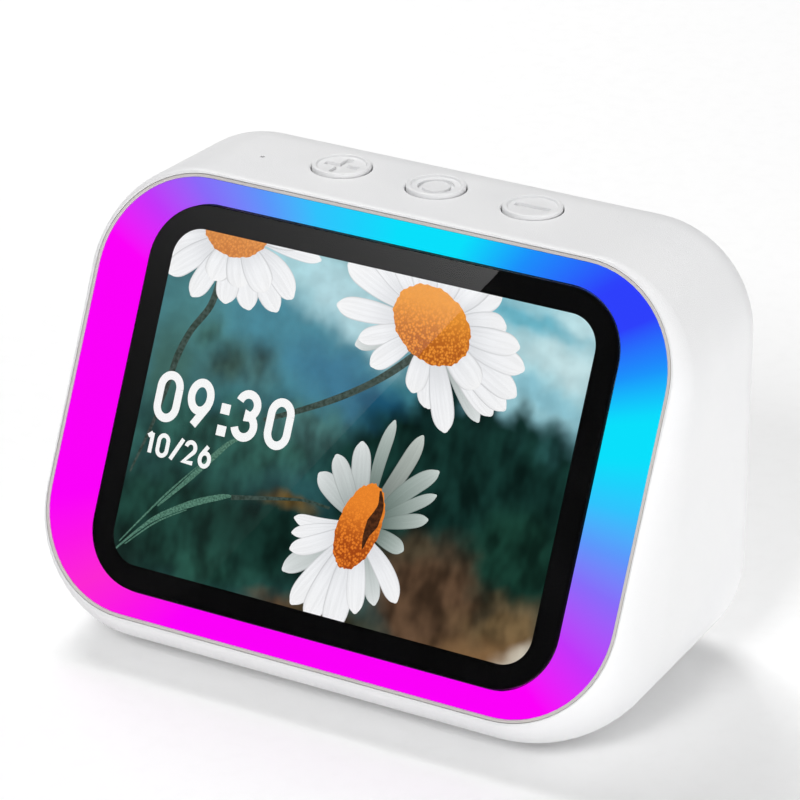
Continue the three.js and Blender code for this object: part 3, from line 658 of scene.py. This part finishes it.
def back_hole(radius, lip, x, z):
    hole = well(radius, lip, BODY["back"], WALL + 1, (x, -z), 24)
    return moved(hole, FACE_BACK)


def make_shell():
    top, bottom, back = BODY["top"], BODY["bottom"], BODY["back"]
    hollow = body_form(WALL, 1.0)
    to_body = Matrix.Rotation(math.pi / 2 - TILT, 4, "X")
    mouth = moved(plate(grown(RING, MOUTH_GROWN), -MOUTH_DEPTH, 2.0), to_body)
    holes = [well(BUTTON_RADIUS + BUTTON_GAP, 0.3, top, THROUGH, (x, BUTTON_Y)) for x in BUTTONS.values()]
    holes.append(well(MIC_RADIUS, 0.08, top, THROUGH, MIC, 24))
    holes += [back_hole(GRILLE_HOLE, 0.22, x, z) for x, z in grille_places()]
    holes.append(stadium_hole(USB["width"] + 0.7, USB["height"] + 0.7, back - WALL - 1, back, USB["z"], 0.35))
    rebate = (COVER["width"], COVER["depth"], COVER["radius"])
    holes.append(plate(rebate, bottom - 1, bottom + 2.0, (0, COVER["y"])))
    seat = FOOT["radius"] + 0.2
    for x in (-FOOT["x"], FOOT["x"]):
        for y in FOOT["y"]:
            holes.append(turned([(seat, bottom - 1), (seat, bottom + 1.1)], 48, (x, y)))
    piece("shell", body_form(), LOOKS["white_shell"], stands_for=["rear_shell"],
          cuts=[hollow, mouth, joined(*holes)])


# ---- screen ----


def swept(profile):
    """A closed band: each entry is an outline and a height on the display axis."""
    return loft([rounded(outline, z) for outline, z in profile], closed=True)


def edge_round(outline, top, radius, outward):
    """Profile points that turn from a side wall over to a top face, or back when outward is -1."""
    return [(grown(outline, outward * (x - radius)), top + y)
            for x, y in arc(0, -radius, radius, radius, 0, 90, 5)]


def add_picture_uv(obj):
    """Flat coordinates across the screen, in units of 100 mm, with 0.5 at its centre."""
    to_display = DISPLAY.inverted()
    uv = obj.data.uv_layers.new(name="picture")
    for loop in obj.data.loops:
        p = to_display @ obj.data.vertices[loop.vertex_index].co / MM
        uv.data[loop.index].uv = (p.x / 100 + 0.5, p.y / 100 + 0.5)


def make_screen():
    rim = grown(RING, RIM_GROWN + 0.17)
    rim_inner = grown(rim, -0.55)
    frame_wall = grown(GLASS, -0.1)
    lcd_hole = grown(PANEL, FRONT_GAP)
    profile = edge_round(rim, 0.0, 0.1, 1) + edge_round(rim_inner, 0.0, 0.12, -1)[::-1] + [
        (rim_inner, CHANNEL),
        (frame_wall, CHANNEL),
        (frame_wall, SHELF),
        (lcd_hole, SHELF),
        (lcd_hole, FRAME_BACK),
        (rim, FRAME_BACK),
    ]
    # The rim bead's grey colour is painted groove shade.
    piece("screen_frame", swept(profile), LOOKS["rim_white"], stands_for=["front_frame"],
          place=DISPLAY)

    inner = grown(GLASS, FRONT_GAP)
    profile = edge_round(RING, BAND_FACE, 0.15, 1) + edge_round(inner, BAND_FACE, 0.15, -1)[::-1]
    profile += [(inner, BAND_BACK), (RING, BAND_BACK)]
    ring = piece("light_band", swept(profile), ring_material(), stands_for=["light_ring"],
                 place=DISPLAY)
    add_picture_uv(ring)

    sheet = [rounded(GLASS, GLASS_BACK)] + [rounded(o, z) for o, z in edge_round(GLASS, 0.0, 0.16, 1)]
    glass = piece("glass_sheet", loft(sheet), glass_material(), stands_for=["cover_glass"],
                  place=DISPLAY)
    glass.data.materials.append(ink)
    for face in glass.data.polygons:
        if abs(face.normal.dot(SCREEN_OUT)) < 0.9999:
            face.material_index = 1  # the sheet's edge is blackened
    # The border also closes the gap down to the picture, behind its outer edge.
    edge, behind, foot = grown(GLASS, -0.05), grown(GLASS, -0.6), PICTURE_FACE + 0.02
    border = [(edge, foot), (edge, BORDER_FACE), (WINDOW, BORDER_FACE), (WINDOW, BORDER_BACK),
              (behind, BORDER_BACK), (behind, foot)]
    piece("glass_border", swept(border), ink, place=DISPLAY)
    backing = [rounded(edge, z) for z in (PICTURE_BACK, PICTURE_FACE)]
    picture = piece("picture_sheet", loft(backing), ink, place=DISPLAY)
    picture.data.materials.append(background_material())
    for face in picture.data.polygons:
        if face.normal.dot(SCREEN_OUT) > 0.9:
            face.material_index = 1
    add_picture_uv(picture)


# ---- the picture on the screen ----


def blend(a, b, t):
    return tuple(lerp(x, y, t) for x, y in zip(a, b))


def across(direction):
    return Vector((-direction.y, direction.x))


PICTURE_X, PICTURE_Y = WINDOW[0] / 2 + 0.6, WINDOW[1] / 2 + 0.6


class Layer:
    """Flat shapes of the picture, laid on the display plane; each shape lies just over the last."""

    def __init__(self, name):
        self.verts, self.faces, self.uvs, self.tones = [], [], [], []
        self.name, self.depth = name, LAYERS[name]

    def grid(self, rows, tone, uv_of):
        """Rows of equal length as a sheet of quads; uv_of(i, j) gives each point's own coordinates."""
        self.depth += SHEET
        start, count = len(self.verts), len(rows[0])
        for i, row in enumerate(rows):
            for j, (x, y) in enumerate(row):
                x = max(-PICTURE_X, min(PICTURE_X, x))
                y = max(-PICTURE_Y, min(PICTURE_Y, y))
                self.verts.append(Vector((x, y, self.depth)))
                self.uvs.append(uv_of(i / (len(rows) - 1), j / (count - 1)))
                self.tones.append(tone if len(tone) == 4 else blend(tone[0], tone[1], i / (len(rows) - 1)))
        for i in range(len(rows) - 1):
            for j in range(count - 1):
                a = start + i * count + j
                self.faces.append((a, a + 1, a + 1 + count, a + count))

    def make(self, material):
        mesh = bpy.data.meshes.new(self.name)
        mesh.from_pydata([DISPLAY @ (v * MM) for v in self.verts], [], self.faces)
        uv = mesh.uv_layers.new(name="petal")
        for loop in mesh.loops:
            uv.data[loop.index].uv = self.uvs[loop.vertex_index]
        tone = mesh.color_attributes.new("tone", "FLOAT_COLOR", "POINT")
        for i, colour in enumerate(self.tones):
            tone.data[i].color = colour
        mesh.materials.append(material)
        obj = added(self.name, mesh)
        add_picture_uv(obj)
        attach(obj, "housing")


WHITE_TONE = (srgb(246, 248, 252), srgb(255, 255, 255))
GREY_TONE = (srgb(176, 186, 184), srgb(238, 242, 242))
SHADE_TONE = (srgb(104, 124, 116), srgb(214, 224, 220))
DUSK_TONE = (srgb(122, 132, 126), srgb(212, 220, 214))
PETAL_ROWS, PETAL_COLUMNS, PETAL_NOTCH = 18, 8, 0.02
DISC_ROWS, DISC_COLUMNS, DISC_WAVE = 8, 120, 0.03


def petal(layer, base, tip, width, tone, bend, number):
    """One petal from base to tip: narrow at its base, broad past the middle, with a rounded tip."""
    along = tip - base
    side = across(along).normalized()
    rows = []
    for i in range(PETAL_ROWS + 1):
        t = math.sin(math.pi / 2 * i / PETAL_ROWS)
        swell = 0.5 + 0.5 * math.sin(math.pi * min(t / 1.3, 1) ** 0.9)
        cap = math.sqrt(max(0.0, 1 - max(0.0, (t - 0.7) / 0.3) ** 2.6))
        half = width / 2 * swell * cap
        centre = base + along * t + side * (bend * math.sin(math.pi * t))
        row = []
        for j in range(PETAL_COLUMNS + 1):
            u = 2 * j / PETAL_COLUMNS - 1
            dip = PETAL_NOTCH * along.length * (t ** 6) * (0.5 - 0.5 * math.cos(3 * math.pi * u))
            row.append(tuple(centre + side * (half * u) - along.normalized() * dip))
        rows.append(row)
    layer.grid(rows, tone, lambda t, u: (u * 0.998 + 0.001 + number, t))


def disc(layer, centre, half_long, half_short, turn, tone, pits):
    """The middle of a flower: an oval with an uneven edge; u says how deep its pits are, v runs up it."""
    turn = math.radians(turn)
    rows = []
    for i in range(DISC_ROWS + 1):
        share = i / DISC_ROWS
        row = []
        for j in range(DISC_COLUMNS + 1):
            a = 2 * math.pi * j / DISC_COLUMNS
            waves = 0.5 * math.sin(11 * a) + 0.35 * math.sin(23 * a + 1) + 0.3 * math.sin(37 * a)
            edge = share * (1 + DISC_WAVE * waves)
            x, y = half_long * math.cos(a) * edge, half_short * math.sin(a) * edge
            row.append((centre[0] + x * math.cos(turn) - y * math.sin(turn),
                        centre[1] + x * math.sin(turn) + y * math.cos(turn)))
        rows.append(row)
    high = max(half_long, half_short)

    def pits_and_height(r, a):
        up = half_long * r * math.cos(2 * math.pi * a) * math.sin(turn)
        up += half_short * r * math.sin(2 * math.pi * a) * math.cos(turn)
        return pits, 0.5 + up / (2 * high)

    layer.grid(rows, tone, pits_and_height)


def ribbon(layer, points, widths, tone):
    """A stroke of changing width along a smooth line through the points."""
    line = []
    for i in range(len(points) - 1):
        p0 = Vector(points[max(i - 1, 0)])
        p1, p2 = Vector(points[i]), Vector(points[i + 1])
        p3 = Vector(points[min(i + 2, len(points) - 1)])
        for k in range(8):
            t = k / 8
            line.append(0.5 * (2 * p1 + (p2 - p0) * t + (2 * p0 - 5 * p1 + 4 * p2 - p3) * t ** 2
                               + (3 * p1 - p0 - 3 * p2 + p3) * t ** 3))
    line.append(Vector(points[-1]))
    rows = []
    for i, p in enumerate(line):
        ahead = line[min(i + 1, len(line) - 1)] - line[max(i - 1, 0)]
        side = across(ahead).normalized()
        at = i / (len(line) - 1) * (len(widths) - 1)
        k = min(int(at), len(widths) - 2)
        half = lerp(widths[k], widths[k + 1], at - k) / 2
        rows.append([tuple(p - side * half), tuple(p + side * half)])
    layer.grid(rows, tone, lambda t, u: (u, t))


def flower(layer, middle, tips, width, base_share=0.3):
    """Petals from near the middle to each tip; a tip may carry its own width, tone and bend."""
    centre = Vector(middle)
    for number, (x, y, *rest) in enumerate(tips):
        own = (width, WHITE_TONE, 0.0)
        own_width, tone, bend = (*rest, *own[len(rest):])
        tip = Vector((x, y))
        petal(layer, centre.lerp(tip, base_share), tip, own_width, tone, bend, number)


def make_picture():
    stems = Layer("picture_stems")
    grey_green = srgb(62, 80, 74)
    ribbon(stems, [(-31.0, 22), (-31.8, 17), (-34.6, 12), (-36.2, 7), (-37.0, 1), (-38.4, -6), (-40.6, -14)],
           [1.3, 1.3, 1.2, 1.3, 0.9, 0.6, 0.4], grey_green)
    ribbon(stems, [(9.5, 17.6), (5.2, 13.4), (1.0, 10.0), (-4.6, 6.4), (-11.0, 3.0), (-17.0, 0.2)],
           [1.5, 1.4, 1.2, 1.2, 1.0, 0.7], grey_green)
    ribbon(stems, [(-1.0, -11.6), (-6.0, -11.4), (-12.0, -12.4), (-20.0, -14.0)],
           [0.5, 0.45, 0.6, 0.9], srgb(92, 98, 74))
    stems.make(plain_glow(stems.name, srgb(66, 84, 78), srgb(44, 60, 52)))

    grass = Layer("picture_grass")
    leaf = srgb(110, 150, 134)
    ribbon(grass, [(-40.2, -27.6), (-36.5, -23.4), (-33.0, -20.2), (-27.0, -16.6), (-22.0, -14.4),
                   (-20.0, -13.8)], [0.3, 0.5, 0.9, 1.2, 1.0, 0.3], leaf)
    ribbon(grass, [(-33.8, -18.6), (-29.0, -13.0), (-25.0, -8.0), (-22.4, -5.0), (-20.6, -4.0)],
           [0.3, 0.9, 1.1, 0.8, 0.2], leaf)
    ribbon(grass, [(-39.8, -26.2), (-36.4, -21.4), (-32.4, -16.0), (-27.6, -10.2)],
           [0.2, 0.3, 0.35, 0.15], leaf)
    ribbon(grass, [(-38.6, -26.4), (-33.4, -21.4), (-28.0, -18.0)], [0.2, 0.3, 0.15], leaf)
    grass.make(plain_glow(grass.name, srgb(94, 138, 120), srgb(62, 102, 86), 300.0))

    far, near = Layer("picture_petals_far"), Layer("picture_petals_near")
    flower(far, (-29.8, 30.5), [
        (-44.5, 29.0), (-43.0, 25.0), (-12.4, 28.8, 2.6), (-16.0, 32.0),
    ], 5.0)
    flower(near, (-29.8, 31.0), [
        (-41.4, 20.9, 4.4), (-18.6, 18.6, 4.2), (-16.2, 21.4, 4.4, WHITE_TONE, 0.8), (-35.8, 17.8, 4.2),
        (-24.0, 17.8, 4.4), (-29.0, 17.9, 4.6), (-32.4, 21.4, 5.2), (-26.6, 21.2, 5.4), (-21.6, 21.5, 5.0),
    ], 4.4)
    flower(far, (10.4, 22.6), [
        (-7.4, 29.4, 4.2), (-4.0, 33.4, 4.0), (1.6, 33.0, 4.4), (23.0, 8.4, 3.0, GREY_TONE),
        (22.2, 30.6, 5.0), (-2.8, 16.2, 3.4, GREY_TONE), (13.4, 8.6, 3.8),
    ], 4.4)
    flower(near, (10.8, 22.4), [
        (-7.8, 22.2, 4.0), (-2.4, 17.4, 3.4), (0.9, 13.4, 4.0), (12.8, 8.7, 3.8), (9.8, 10.6, 4.2),
        (25.2, 10.0, 4.2), (27.4, 11.4, 4.2), (28.8, 14.0, 4.6), (29.3, 18.6, 4.4), (17.4, 5.4, 4.4),
        (24.4, 24.8, 5.2), (27.6, 22.0, 4.2), (21.6, 14.0, 5.2), (19.0, 33.0, 6.0), (12.0, 34.0, 6.0),
        (5.6, 34.4, 5.0),
    ], 4.4)
    flower(far, (6.0, -13.0), [
        (7.7, 5.6, 2.4, SHADE_TONE, 0.5), (13.5, 4.2, 3.0, DUSK_TONE, -0.4),
        (17.8, -1.0, 3.1, SHADE_TONE, 0.5), (18.3, -5.0, 2.2, SHADE_TONE),
        (17.7, -9.3, 2.5, SHADE_TONE), (14.4, -15.4, 3.0, SHADE_TONE),
        (11.2, -25.6, 3.2, GREY_TONE), (-4.4, -6.2, 3.8, GREY_TONE), (-7.4, -23.8, 3.8, GREY_TONE),
    ], 3.6, 0.2)
    flower(near, (5.2, -13.4), [
        (2.5, 0.8, 3.7, GREY_TONE), (-1.8, -2.4, 3.6, GREY_TONE), (-7.2, -14.6, 2.5, WHITE_TONE, 0.6),
        (-7.1, -17.2, 2.4), (-6.8, -20.0, 3.2, WHITE_TONE, 0.5), (-4.4, -29.0, 4.2), (-0.8, -31.0, 4.8),
        (4.0, -32.0, 5.0), (8.0, -27.8, 3.6), (15.2, -24.2, 3.6, WHITE_TONE, 0.6),
    ], 4.2, 0.2)
    petals = petal_material()
    far.make(petals)
    near.make(petals)

    middles = Layer("picture_flower_middles")
    disc(middles, (-29.6, 30.9), 6.4, 4.9, 0, srgb(240, 168, 86), 0.45)
    disc(middles, (10.7, 22.4), 8.1, 5.9, -28, srgb(248, 164, 62), 0.85)
    disc(middles, (5.3, -13.3), 7.7, 4.0, 78, srgb(246, 142, 48), 1.0)
    middles.make(disc_material())
    pit = Layer("picture_pit")
    ribbon(pit, [(7.9, -6.6), (8.5, -9.2), (7.7, -12.2), (7.0, -14.4), (6.8, -16.8)],
           [0.3, 1.2, 2.3, 1.2, 0.2], srgb(84, 46, 26))
    pit.make(plain_glow(pit.name, srgb(88, 50, 28), srgb(60, 34, 20)))


# ---- clock figures ----


FIGURE_TOP = 1.72


def strokes_of(figure):
    """Centre lines of a figure in a box one unit wide and FIGURE_TOP high, inside the stroke's edges."""
    top, r = FIGURE_TOP, 0.5
    return {
        "0": [arc(r, top - r, r, r, 0, 180) + arc(r, r, r, r, 180, 360) + [(1.0, top - r)]],
        "1": [[(0.56, 0.0), (0.56, top)], [(0.56, top), (0.12, top - 0.34)]],
        "2": [arc(r, top - 0.5, r, 0.5, 170, -35) + [(0.0, 0.0), (1.0, 0.0)]],
        "3": [arc(r, top - 0.44, 0.48, 0.44, 165, -80) + arc(r, 0.45, r, 0.45, 80, -165)],
        "6": [arc(r, 0.56, r, 0.56, 145, 505, 40), [(0.045, 0.84), (0.64, top)]],
        "9": [arc(r, top - 0.56, r, 0.56, -35, 325, 40), [(0.955, top - 0.84), (0.36, 0.0)]],
        "/": [[(-0.02, -0.1), (0.98, top + 0.1)]],
    }.get(figure, [])


def outline_stroke(layer, line, width):
    """A stroke of even width with mitred corners, as one strip of quads."""
    points = [Vector(p) for p in line]
    rows = []
    for i, p in enumerate(points):
        before = (p - points[i - 1] if i else points[1] - p).normalized()
        after = (points[i + 1] - p).normalized() if i + 1 < len(points) else before
        side = across((before + after).normalized())
        reach = side * (width / 2 * min(1.6, 1 / max(0.3, side.dot(across(before)))))
        rows.append([tuple(p - reach), tuple(p + reach)])
    layer.grid(rows, PURE_WHITE, lambda t, u: (u, t))


def write(layer, figures, high, wide, stroke, low):
    """Figures of one height and width at their left edges, standing on the line at low."""
    scale = (wide, (high - stroke) / FIGURE_TOP)
    for figure, left in figures:
        if figure == ":":
            right = left + stroke * 1.25
            for y in (low + 0.6 * stroke - 0.1, low + 4.55):
                dot = [[(left, y - stroke / 2), (right, y - stroke / 2)],
                       [(left, y + stroke * 0.75), (right, y + stroke * 0.75)]]
                layer.grid(dot, PURE_WHITE, lambda t, u: (u, t))
        for line in strokes_of(figure):
            outline_stroke(layer, [(left + stroke / 2 + x * scale[0], low + stroke / 2 + y * scale[1])
                                   for x, y in line], stroke)


def make_clock():
    n = Nodes("clock_figures")
    speck = n.smooth(n.noise(n.uv("picture"), 900.0, 1.0), 0.3, 0.7)
    white_glow = glow(n, n.mix(speck, (0.98, 0.99, 0.99, 1.0), PURE_WHITE))
    clock = Layer("clock_time")
    write(clock, [("0", -38.6), ("9", -32.3), (":", -25.4), ("3", -22.9), ("0", -16.3)],
          8.9, 3.75, 1.45, -4.3)
    clock.make(white_glow)
    date = Layer("clock_date")
    write(date, [("1", -38.9), ("0", -36.4), ("/", -33.5), ("2", -30.9), ("6", -27.8)],
          4.25, 1.85, 0.75, -10.4)
    date.make(white_glow)


# ---- buttons ----


def make_buttons():
    top, rim_top = BODY["top"], BODY["top"] + BUTTON_PROUD
    dish = rim_top - BUTTON_DISH
    sunk = dish - MARK_DEPTH
    side = BUTTON_RADIUS - BUTTON_LIP
    profile = [(0.01, top - 3.2), (BUTTON_RADIUS, top - 3.2), (BUTTON_RADIUS, rim_top - BUTTON_LIP)]
    profile += arc(side, rim_top - BUTTON_LIP, BUTTON_LIP, BUTTON_LIP, 15, 90, 6)
    profile += arc(BUTTON_RADIUS - 0.62, rim_top - 0.22, 0.22, 0.22, 90, 150, 4)
    profile += [(BUTTON_RADIUS - 0.93, dish + 0.06), (BUTTON_RADIUS - 1.12, dish), (0.01, dish - 0.03)]
    mesh = turned([(0.01, top - 1.3), (0.42, top - 1.3), (0.42, top - 0.3), (0.01, top - 0.26)], 24, MIC)
    piece("microphone_mesh", mesh, LOOKS["black_plastic"])
    flat, upright = (6.6, 1.5), (1.5, 6.6)
    ring = [(2.46, sunk), (3.14, sunk), (3.3, dish + 0.6), (2.3, dish + 0.6), (2.46, sunk)]
    for name, x in BUTTONS.items():
        at = (x, BUTTON_Y)
        cuts = [turned(ring, 64, at)] if name == "home" else []
        for width, depth in {"plus": [flat, upright], "minus": [flat]}.get(name, []):
            low = rounded((width - 0.2, depth - 0.2, 0.25), sunk, 5, at)
            high = rounded((width + 0.1, depth + 0.1, 0.36), dish + 0.3, 5, at)
            cuts.append(loft([low, high]))
        piece(f"push_button_{name}", turned(profile, 96, at), LOOKS["button_white"],
              f"button_{name}_key", [f"button_{name}"], cuts=cuts, sharp=26)


# ---- back and underside ----


def make_back():
    cloth_y = BODY["back"] - 3.0
    web = turned([(0.01, cloth_y - 0.15), (14.6, cloth_y - 0.15), (14.6, cloth_y), (0.01, cloth_y)], 64,
                 (0, -SPEAKER_Z))
    piece("speaker_cloth", moved(web, FACE_BACK), cloth_material())

    mouth = BODY["back"] - 0.8
    end = mouth - USB["depth"]
    outside = (USB["width"], USB["height"], USB["height"] / 2 - 0.01)
    inside = grown(outside, -0.35)
    rings = [rounded(outline, y, 10) for outline, y in (
        (outside, end), (outside, mouth - 0.15), (grown(outside, -0.1), mouth),
        (grown(inside, 0.08), mouth), (inside, mouth - 0.12), (inside, end + 1),
    )]
    socket = moved(loft(rings), Matrix.Translation((0, 0, USB["z"])) @ FACE_BACK)
    piece("inlet_shell", socket, LOOKS["plated_can"], stands_for=["usb_c_socket"])
    contacts = [box(0.28, 3.0, 0.04, -2.45 + 0.545 * i, end + 4.2, USB["z"] + side * 0.36)
                for i in range(10) for side in (-1, 1)]
    piece("inlet_contacts", joined(*contacts), LOOKS["contact_gold"])


def screw_head(x, y, low):
    """A recessed cross-head screw, seen from below: a domed head with a cross-shaped socket."""
    profile = [(0.01, low), (1.5, low + 0.02), (1.9, low + 0.16), (2.0, low + 0.4), (2.0, low + 1.1),
               (1.1, low + 1.1), (1.1, low + 3.6), (0.01, low + 3.6)]
    arms = [loft([rounded((2.3 if k else 0.5, 0.5 if k else 2.3, 0.1), low - 0.3, 3, (x, y)),
                  rounded((1.3 if k else 0.3, 0.3 if k else 1.3, 0.1), low + 0.75, 3, (x, y))])
            for k in (0, 1)]
    return turned(profile, 48, (x, y)), arms


def make_underside():
    bottom, at = BODY["bottom"], (0, COVER["y"])
    outline = (COVER["width"] - 0.6, COVER["depth"] - 0.6, COVER["radius"] - 0.3)
    rings = [rounded(grown(outline, grow), bottom + up, ARC, at)
             for grow, up in ((-0.25, 0), (-0.07, 0.07), (0, 0.25), (0, COVER["thick"]))]
    places = [(sx * (COVER["width"] - 9) / 2, COVER["y"] + sy * (COVER["depth"] - 9) / 2)
              for sx in (-1, 1) for sy in (-1, 1)]
    recess = [(2.75, bottom - 1), (2.75, bottom + 0.02), (2.5, bottom + 0.25), (2.5, bottom + 1.3)]
    recesses = [turned(recess, 40, spot) for spot in places]
    shafts = [turned([(1.4, bottom + 1), (1.4, bottom + 3)], 24, spot) for spot in places]
    ribs = [plate((24.0, 0.8, 0.3), bottom - 1, bottom + 0.35, (0, COVER["y"] + 2.25 * i), 4)
            for i in range(-2, 3)]
    piece("base_plate", loft(rings), LOOKS["white_shell"], stands_for=["bottom_cover"],
          cuts=[joined(*recesses), joined(*shafts), joined(*ribs)])
    for i, spot in enumerate(places, 1):
        head, arms = screw_head(*spot, bottom + 0.1)
        piece(f"base_screw_{i}", head, LOOKS["screw_steel"], stands_for=[f"cover_screw_{i}"],
              cuts=arms)
    low, radius = bottom - FOOT["proud"], FOOT["radius"]
    profile = [(0.01, low)] + arc(radius - 0.45, low + 0.45, 0.45, 0.45, -90, 0, 6)
    profile += [(radius, low + FOOT["thick"]), (0.01, low + FOOT["thick"])]
    groove = [(1.7, low - 1), (2.2, low - 1), (2.2, low + 0.25), (1.7, low + 0.25), (1.7, low - 1)]
    feet = [(x, y) for y in FOOT["y"] for x in (-FOOT["x"], FOOT["x"])]
    for i, spot in enumerate(feet, 1):
        piece(f"rubber_foot_{i}", turned(profile, 64, spot), LOOKS["grey_rubber"],
              stands_for=[f"foot_{i}"], cuts=[turned(groove, 48, spot)])


# ---- studio ----

AZIMUTH, ELEVATION, ROLL = math.radians(30.02), math.radians(24.31), math.radians(0.28)
DISTANCE, SHIFT_X, SHIFT_Y = 749.9, 8.83, 7.11
LENS = 200.6
FLOOR_SPAN, FLOOR_Z = 6.0, -0.00005  # metres; the floor lies just below the feet
WALL_TOWARD = (-0.456, -0.829, 0.319)


def make_camera():
    """The photo's camera; returns the place it stands in."""
    back = Vector((math.sin(AZIMUTH) * math.cos(ELEVATION), -math.cos(AZIMUTH) * math.cos(ELEVATION),
                   math.sin(ELEVATION)))
    level = Vector((math.cos(AZIMUTH), math.sin(AZIMUTH), 0.0))
    upright = back.cross(level)
    right = level * math.cos(ROLL) + upright * math.sin(ROLL)
    up = upright * math.cos(ROLL) - level * math.sin(ROLL)
    data = bpy.data.cameras.new("camera")
    data.lens, data.sensor_width = LENS, 36.0
    data.clip_start, data.clip_end = 0.05, 20.0
    camera = added("camera", data)
    spot = CENTRE + (back * DISTANCE + right * SHIFT_X + up * SHIFT_Y) * MM
    camera.matrix_world = Matrix([(right[i], up[i], back[i], spot[i]) for i in range(3)] + [(0, 0, 0, 1)])
    bpy.context.scene.camera = camera
    return spot


def area_light(name, at, size, power, glossy=True):
    data = bpy.data.lights.new(name, "AREA")
    data.shape, data.size, data.size_y = "RECTANGLE", size[0], size[1]
    data.energy = power
    lamp = added(name, data)
    lamp.location = at
    lamp.rotation_mode = "QUATERNION"
    lamp.rotation_quaternion = (at - CENTRE).to_track_quat("Z", "Y")
    lamp.visible_glossy = glossy


def make_reflection_card(spot):
    """A soft panel in front of the display. Its mirror image lies over the glass's upper left part."""
    out = DISPLAY.to_3x3() @ Vector((0, 0, 1))
    height = (spot - CENTRE).dot(out)
    mirrored = spot - out * (2 * height)
    away = 0.45  # metres in front of the glass
    corners = [(19.2, 31.0), (23.0, 36.6), (-60.0, 60.0), (-70.0, -60.0), (-22.0, -30.2), (-2.0, -0.1)]
    verts = []
    for x, y in corners:
        on_glass = DISPLAY @ (Vector((x, y, 0)) * MM)
        ray = on_glass - mirrored
        verts.append(mirrored + ray * (1 + away / ray.dot(out)))
    mesh = bpy.data.meshes.new("reflection_card")
    mesh.from_pydata(verts, [], [tuple(range(len(verts)))])
    uv = mesh.uv_layers.new(name="picture")
    for loop in mesh.loops:
        x, y = corners[loop.vertex_index]
        uv.data[loop.index].uv = (x / 100, y / 100)
    n = Nodes("reflection_card")
    x, y = n.split(n.uv("picture"))
    fall = n.math("ADD", n.math("MULTIPLY", n.math("SUBTRACT", x, 0.18), 2.17),
                  n.math("MULTIPLY", n.math("SUBTRACT", y, 0.32), 4.17))
    strength = n.math("MULTIPLY", n.math("EXPONENT", fall), 1.6)
    mesh.materials.append(n.finish(n.new("ShaderNodeEmission", {"Strength": strength})))
    card = added("reflection_card", mesh)
    card.visible_camera = card.visible_diffuse = card.visible_shadow = False
    card.visible_transmission = False


def make_studio():
    n = Nodes("floor")
    speck = n.smooth(n.noise(n.place(), 300.0), 0.3, 0.7)
    mesh = bpy.data.meshes.new("floor")
    corners = ((-1, -1), (1, -1), (1, 1), (-1, 1))
    mesh.from_pydata([(x * FLOOR_SPAN, y * FLOOR_SPAN, FLOOR_Z) for x, y in corners], [], [(0, 1, 2, 3)])
    mesh.materials.append(n.principled(
        Base_Color=n.mix(speck, (0.95, 0.95, 0.95, 1.0), (0.97, 0.97, 0.97, 1.0)), Roughness=0.9,
        Specular_IOR_Level=0.0, Emission_Color=PURE_WHITE, Emission_Strength=0.04))
    added("floor", mesh)

    # A dim wall stands where the screen faces, so that its glass stays dark; the rest is pale.
    n = Nodes("world", bpy.data.worlds, "ShaderNodeOutputWorld")
    around = n.new("ShaderNodeTexCoord").outputs["Generated"]
    light = n.smooth(n.vector("DOT_PRODUCT", around, WALL_TOWARD, out=1), 0.72, 0.92, 0.35, 0.012)
    background = n.new("ShaderNodeBackground", {"Color": PURE_WHITE, "Strength": light})
    bpy.context.scene.world = n.finish(background)

    area_light("front", CENTRE + Vector((0.12, -1.02, 0.74)), (0.35, 0.35), 7.0, glossy=False)
    area_light("top", CENTRE + Vector((-0.60, 0.50, 1.10)), (0.6, 0.6), 9.6)
    area_light("side", CENTRE + Vector((1.55, -0.45, 0.02)), (1.0, 0.5), 21.0, glossy=False)
    view = bpy.context.scene.view_settings
    view.view_transform, view.look = "Standard", "None"


make_shell()
make_screen()
make_picture()
make_clock()
make_buttons()
make_back()
make_underside()
camera_spot = make_camera()
make_reflection_card(camera_spot)
make_studio()
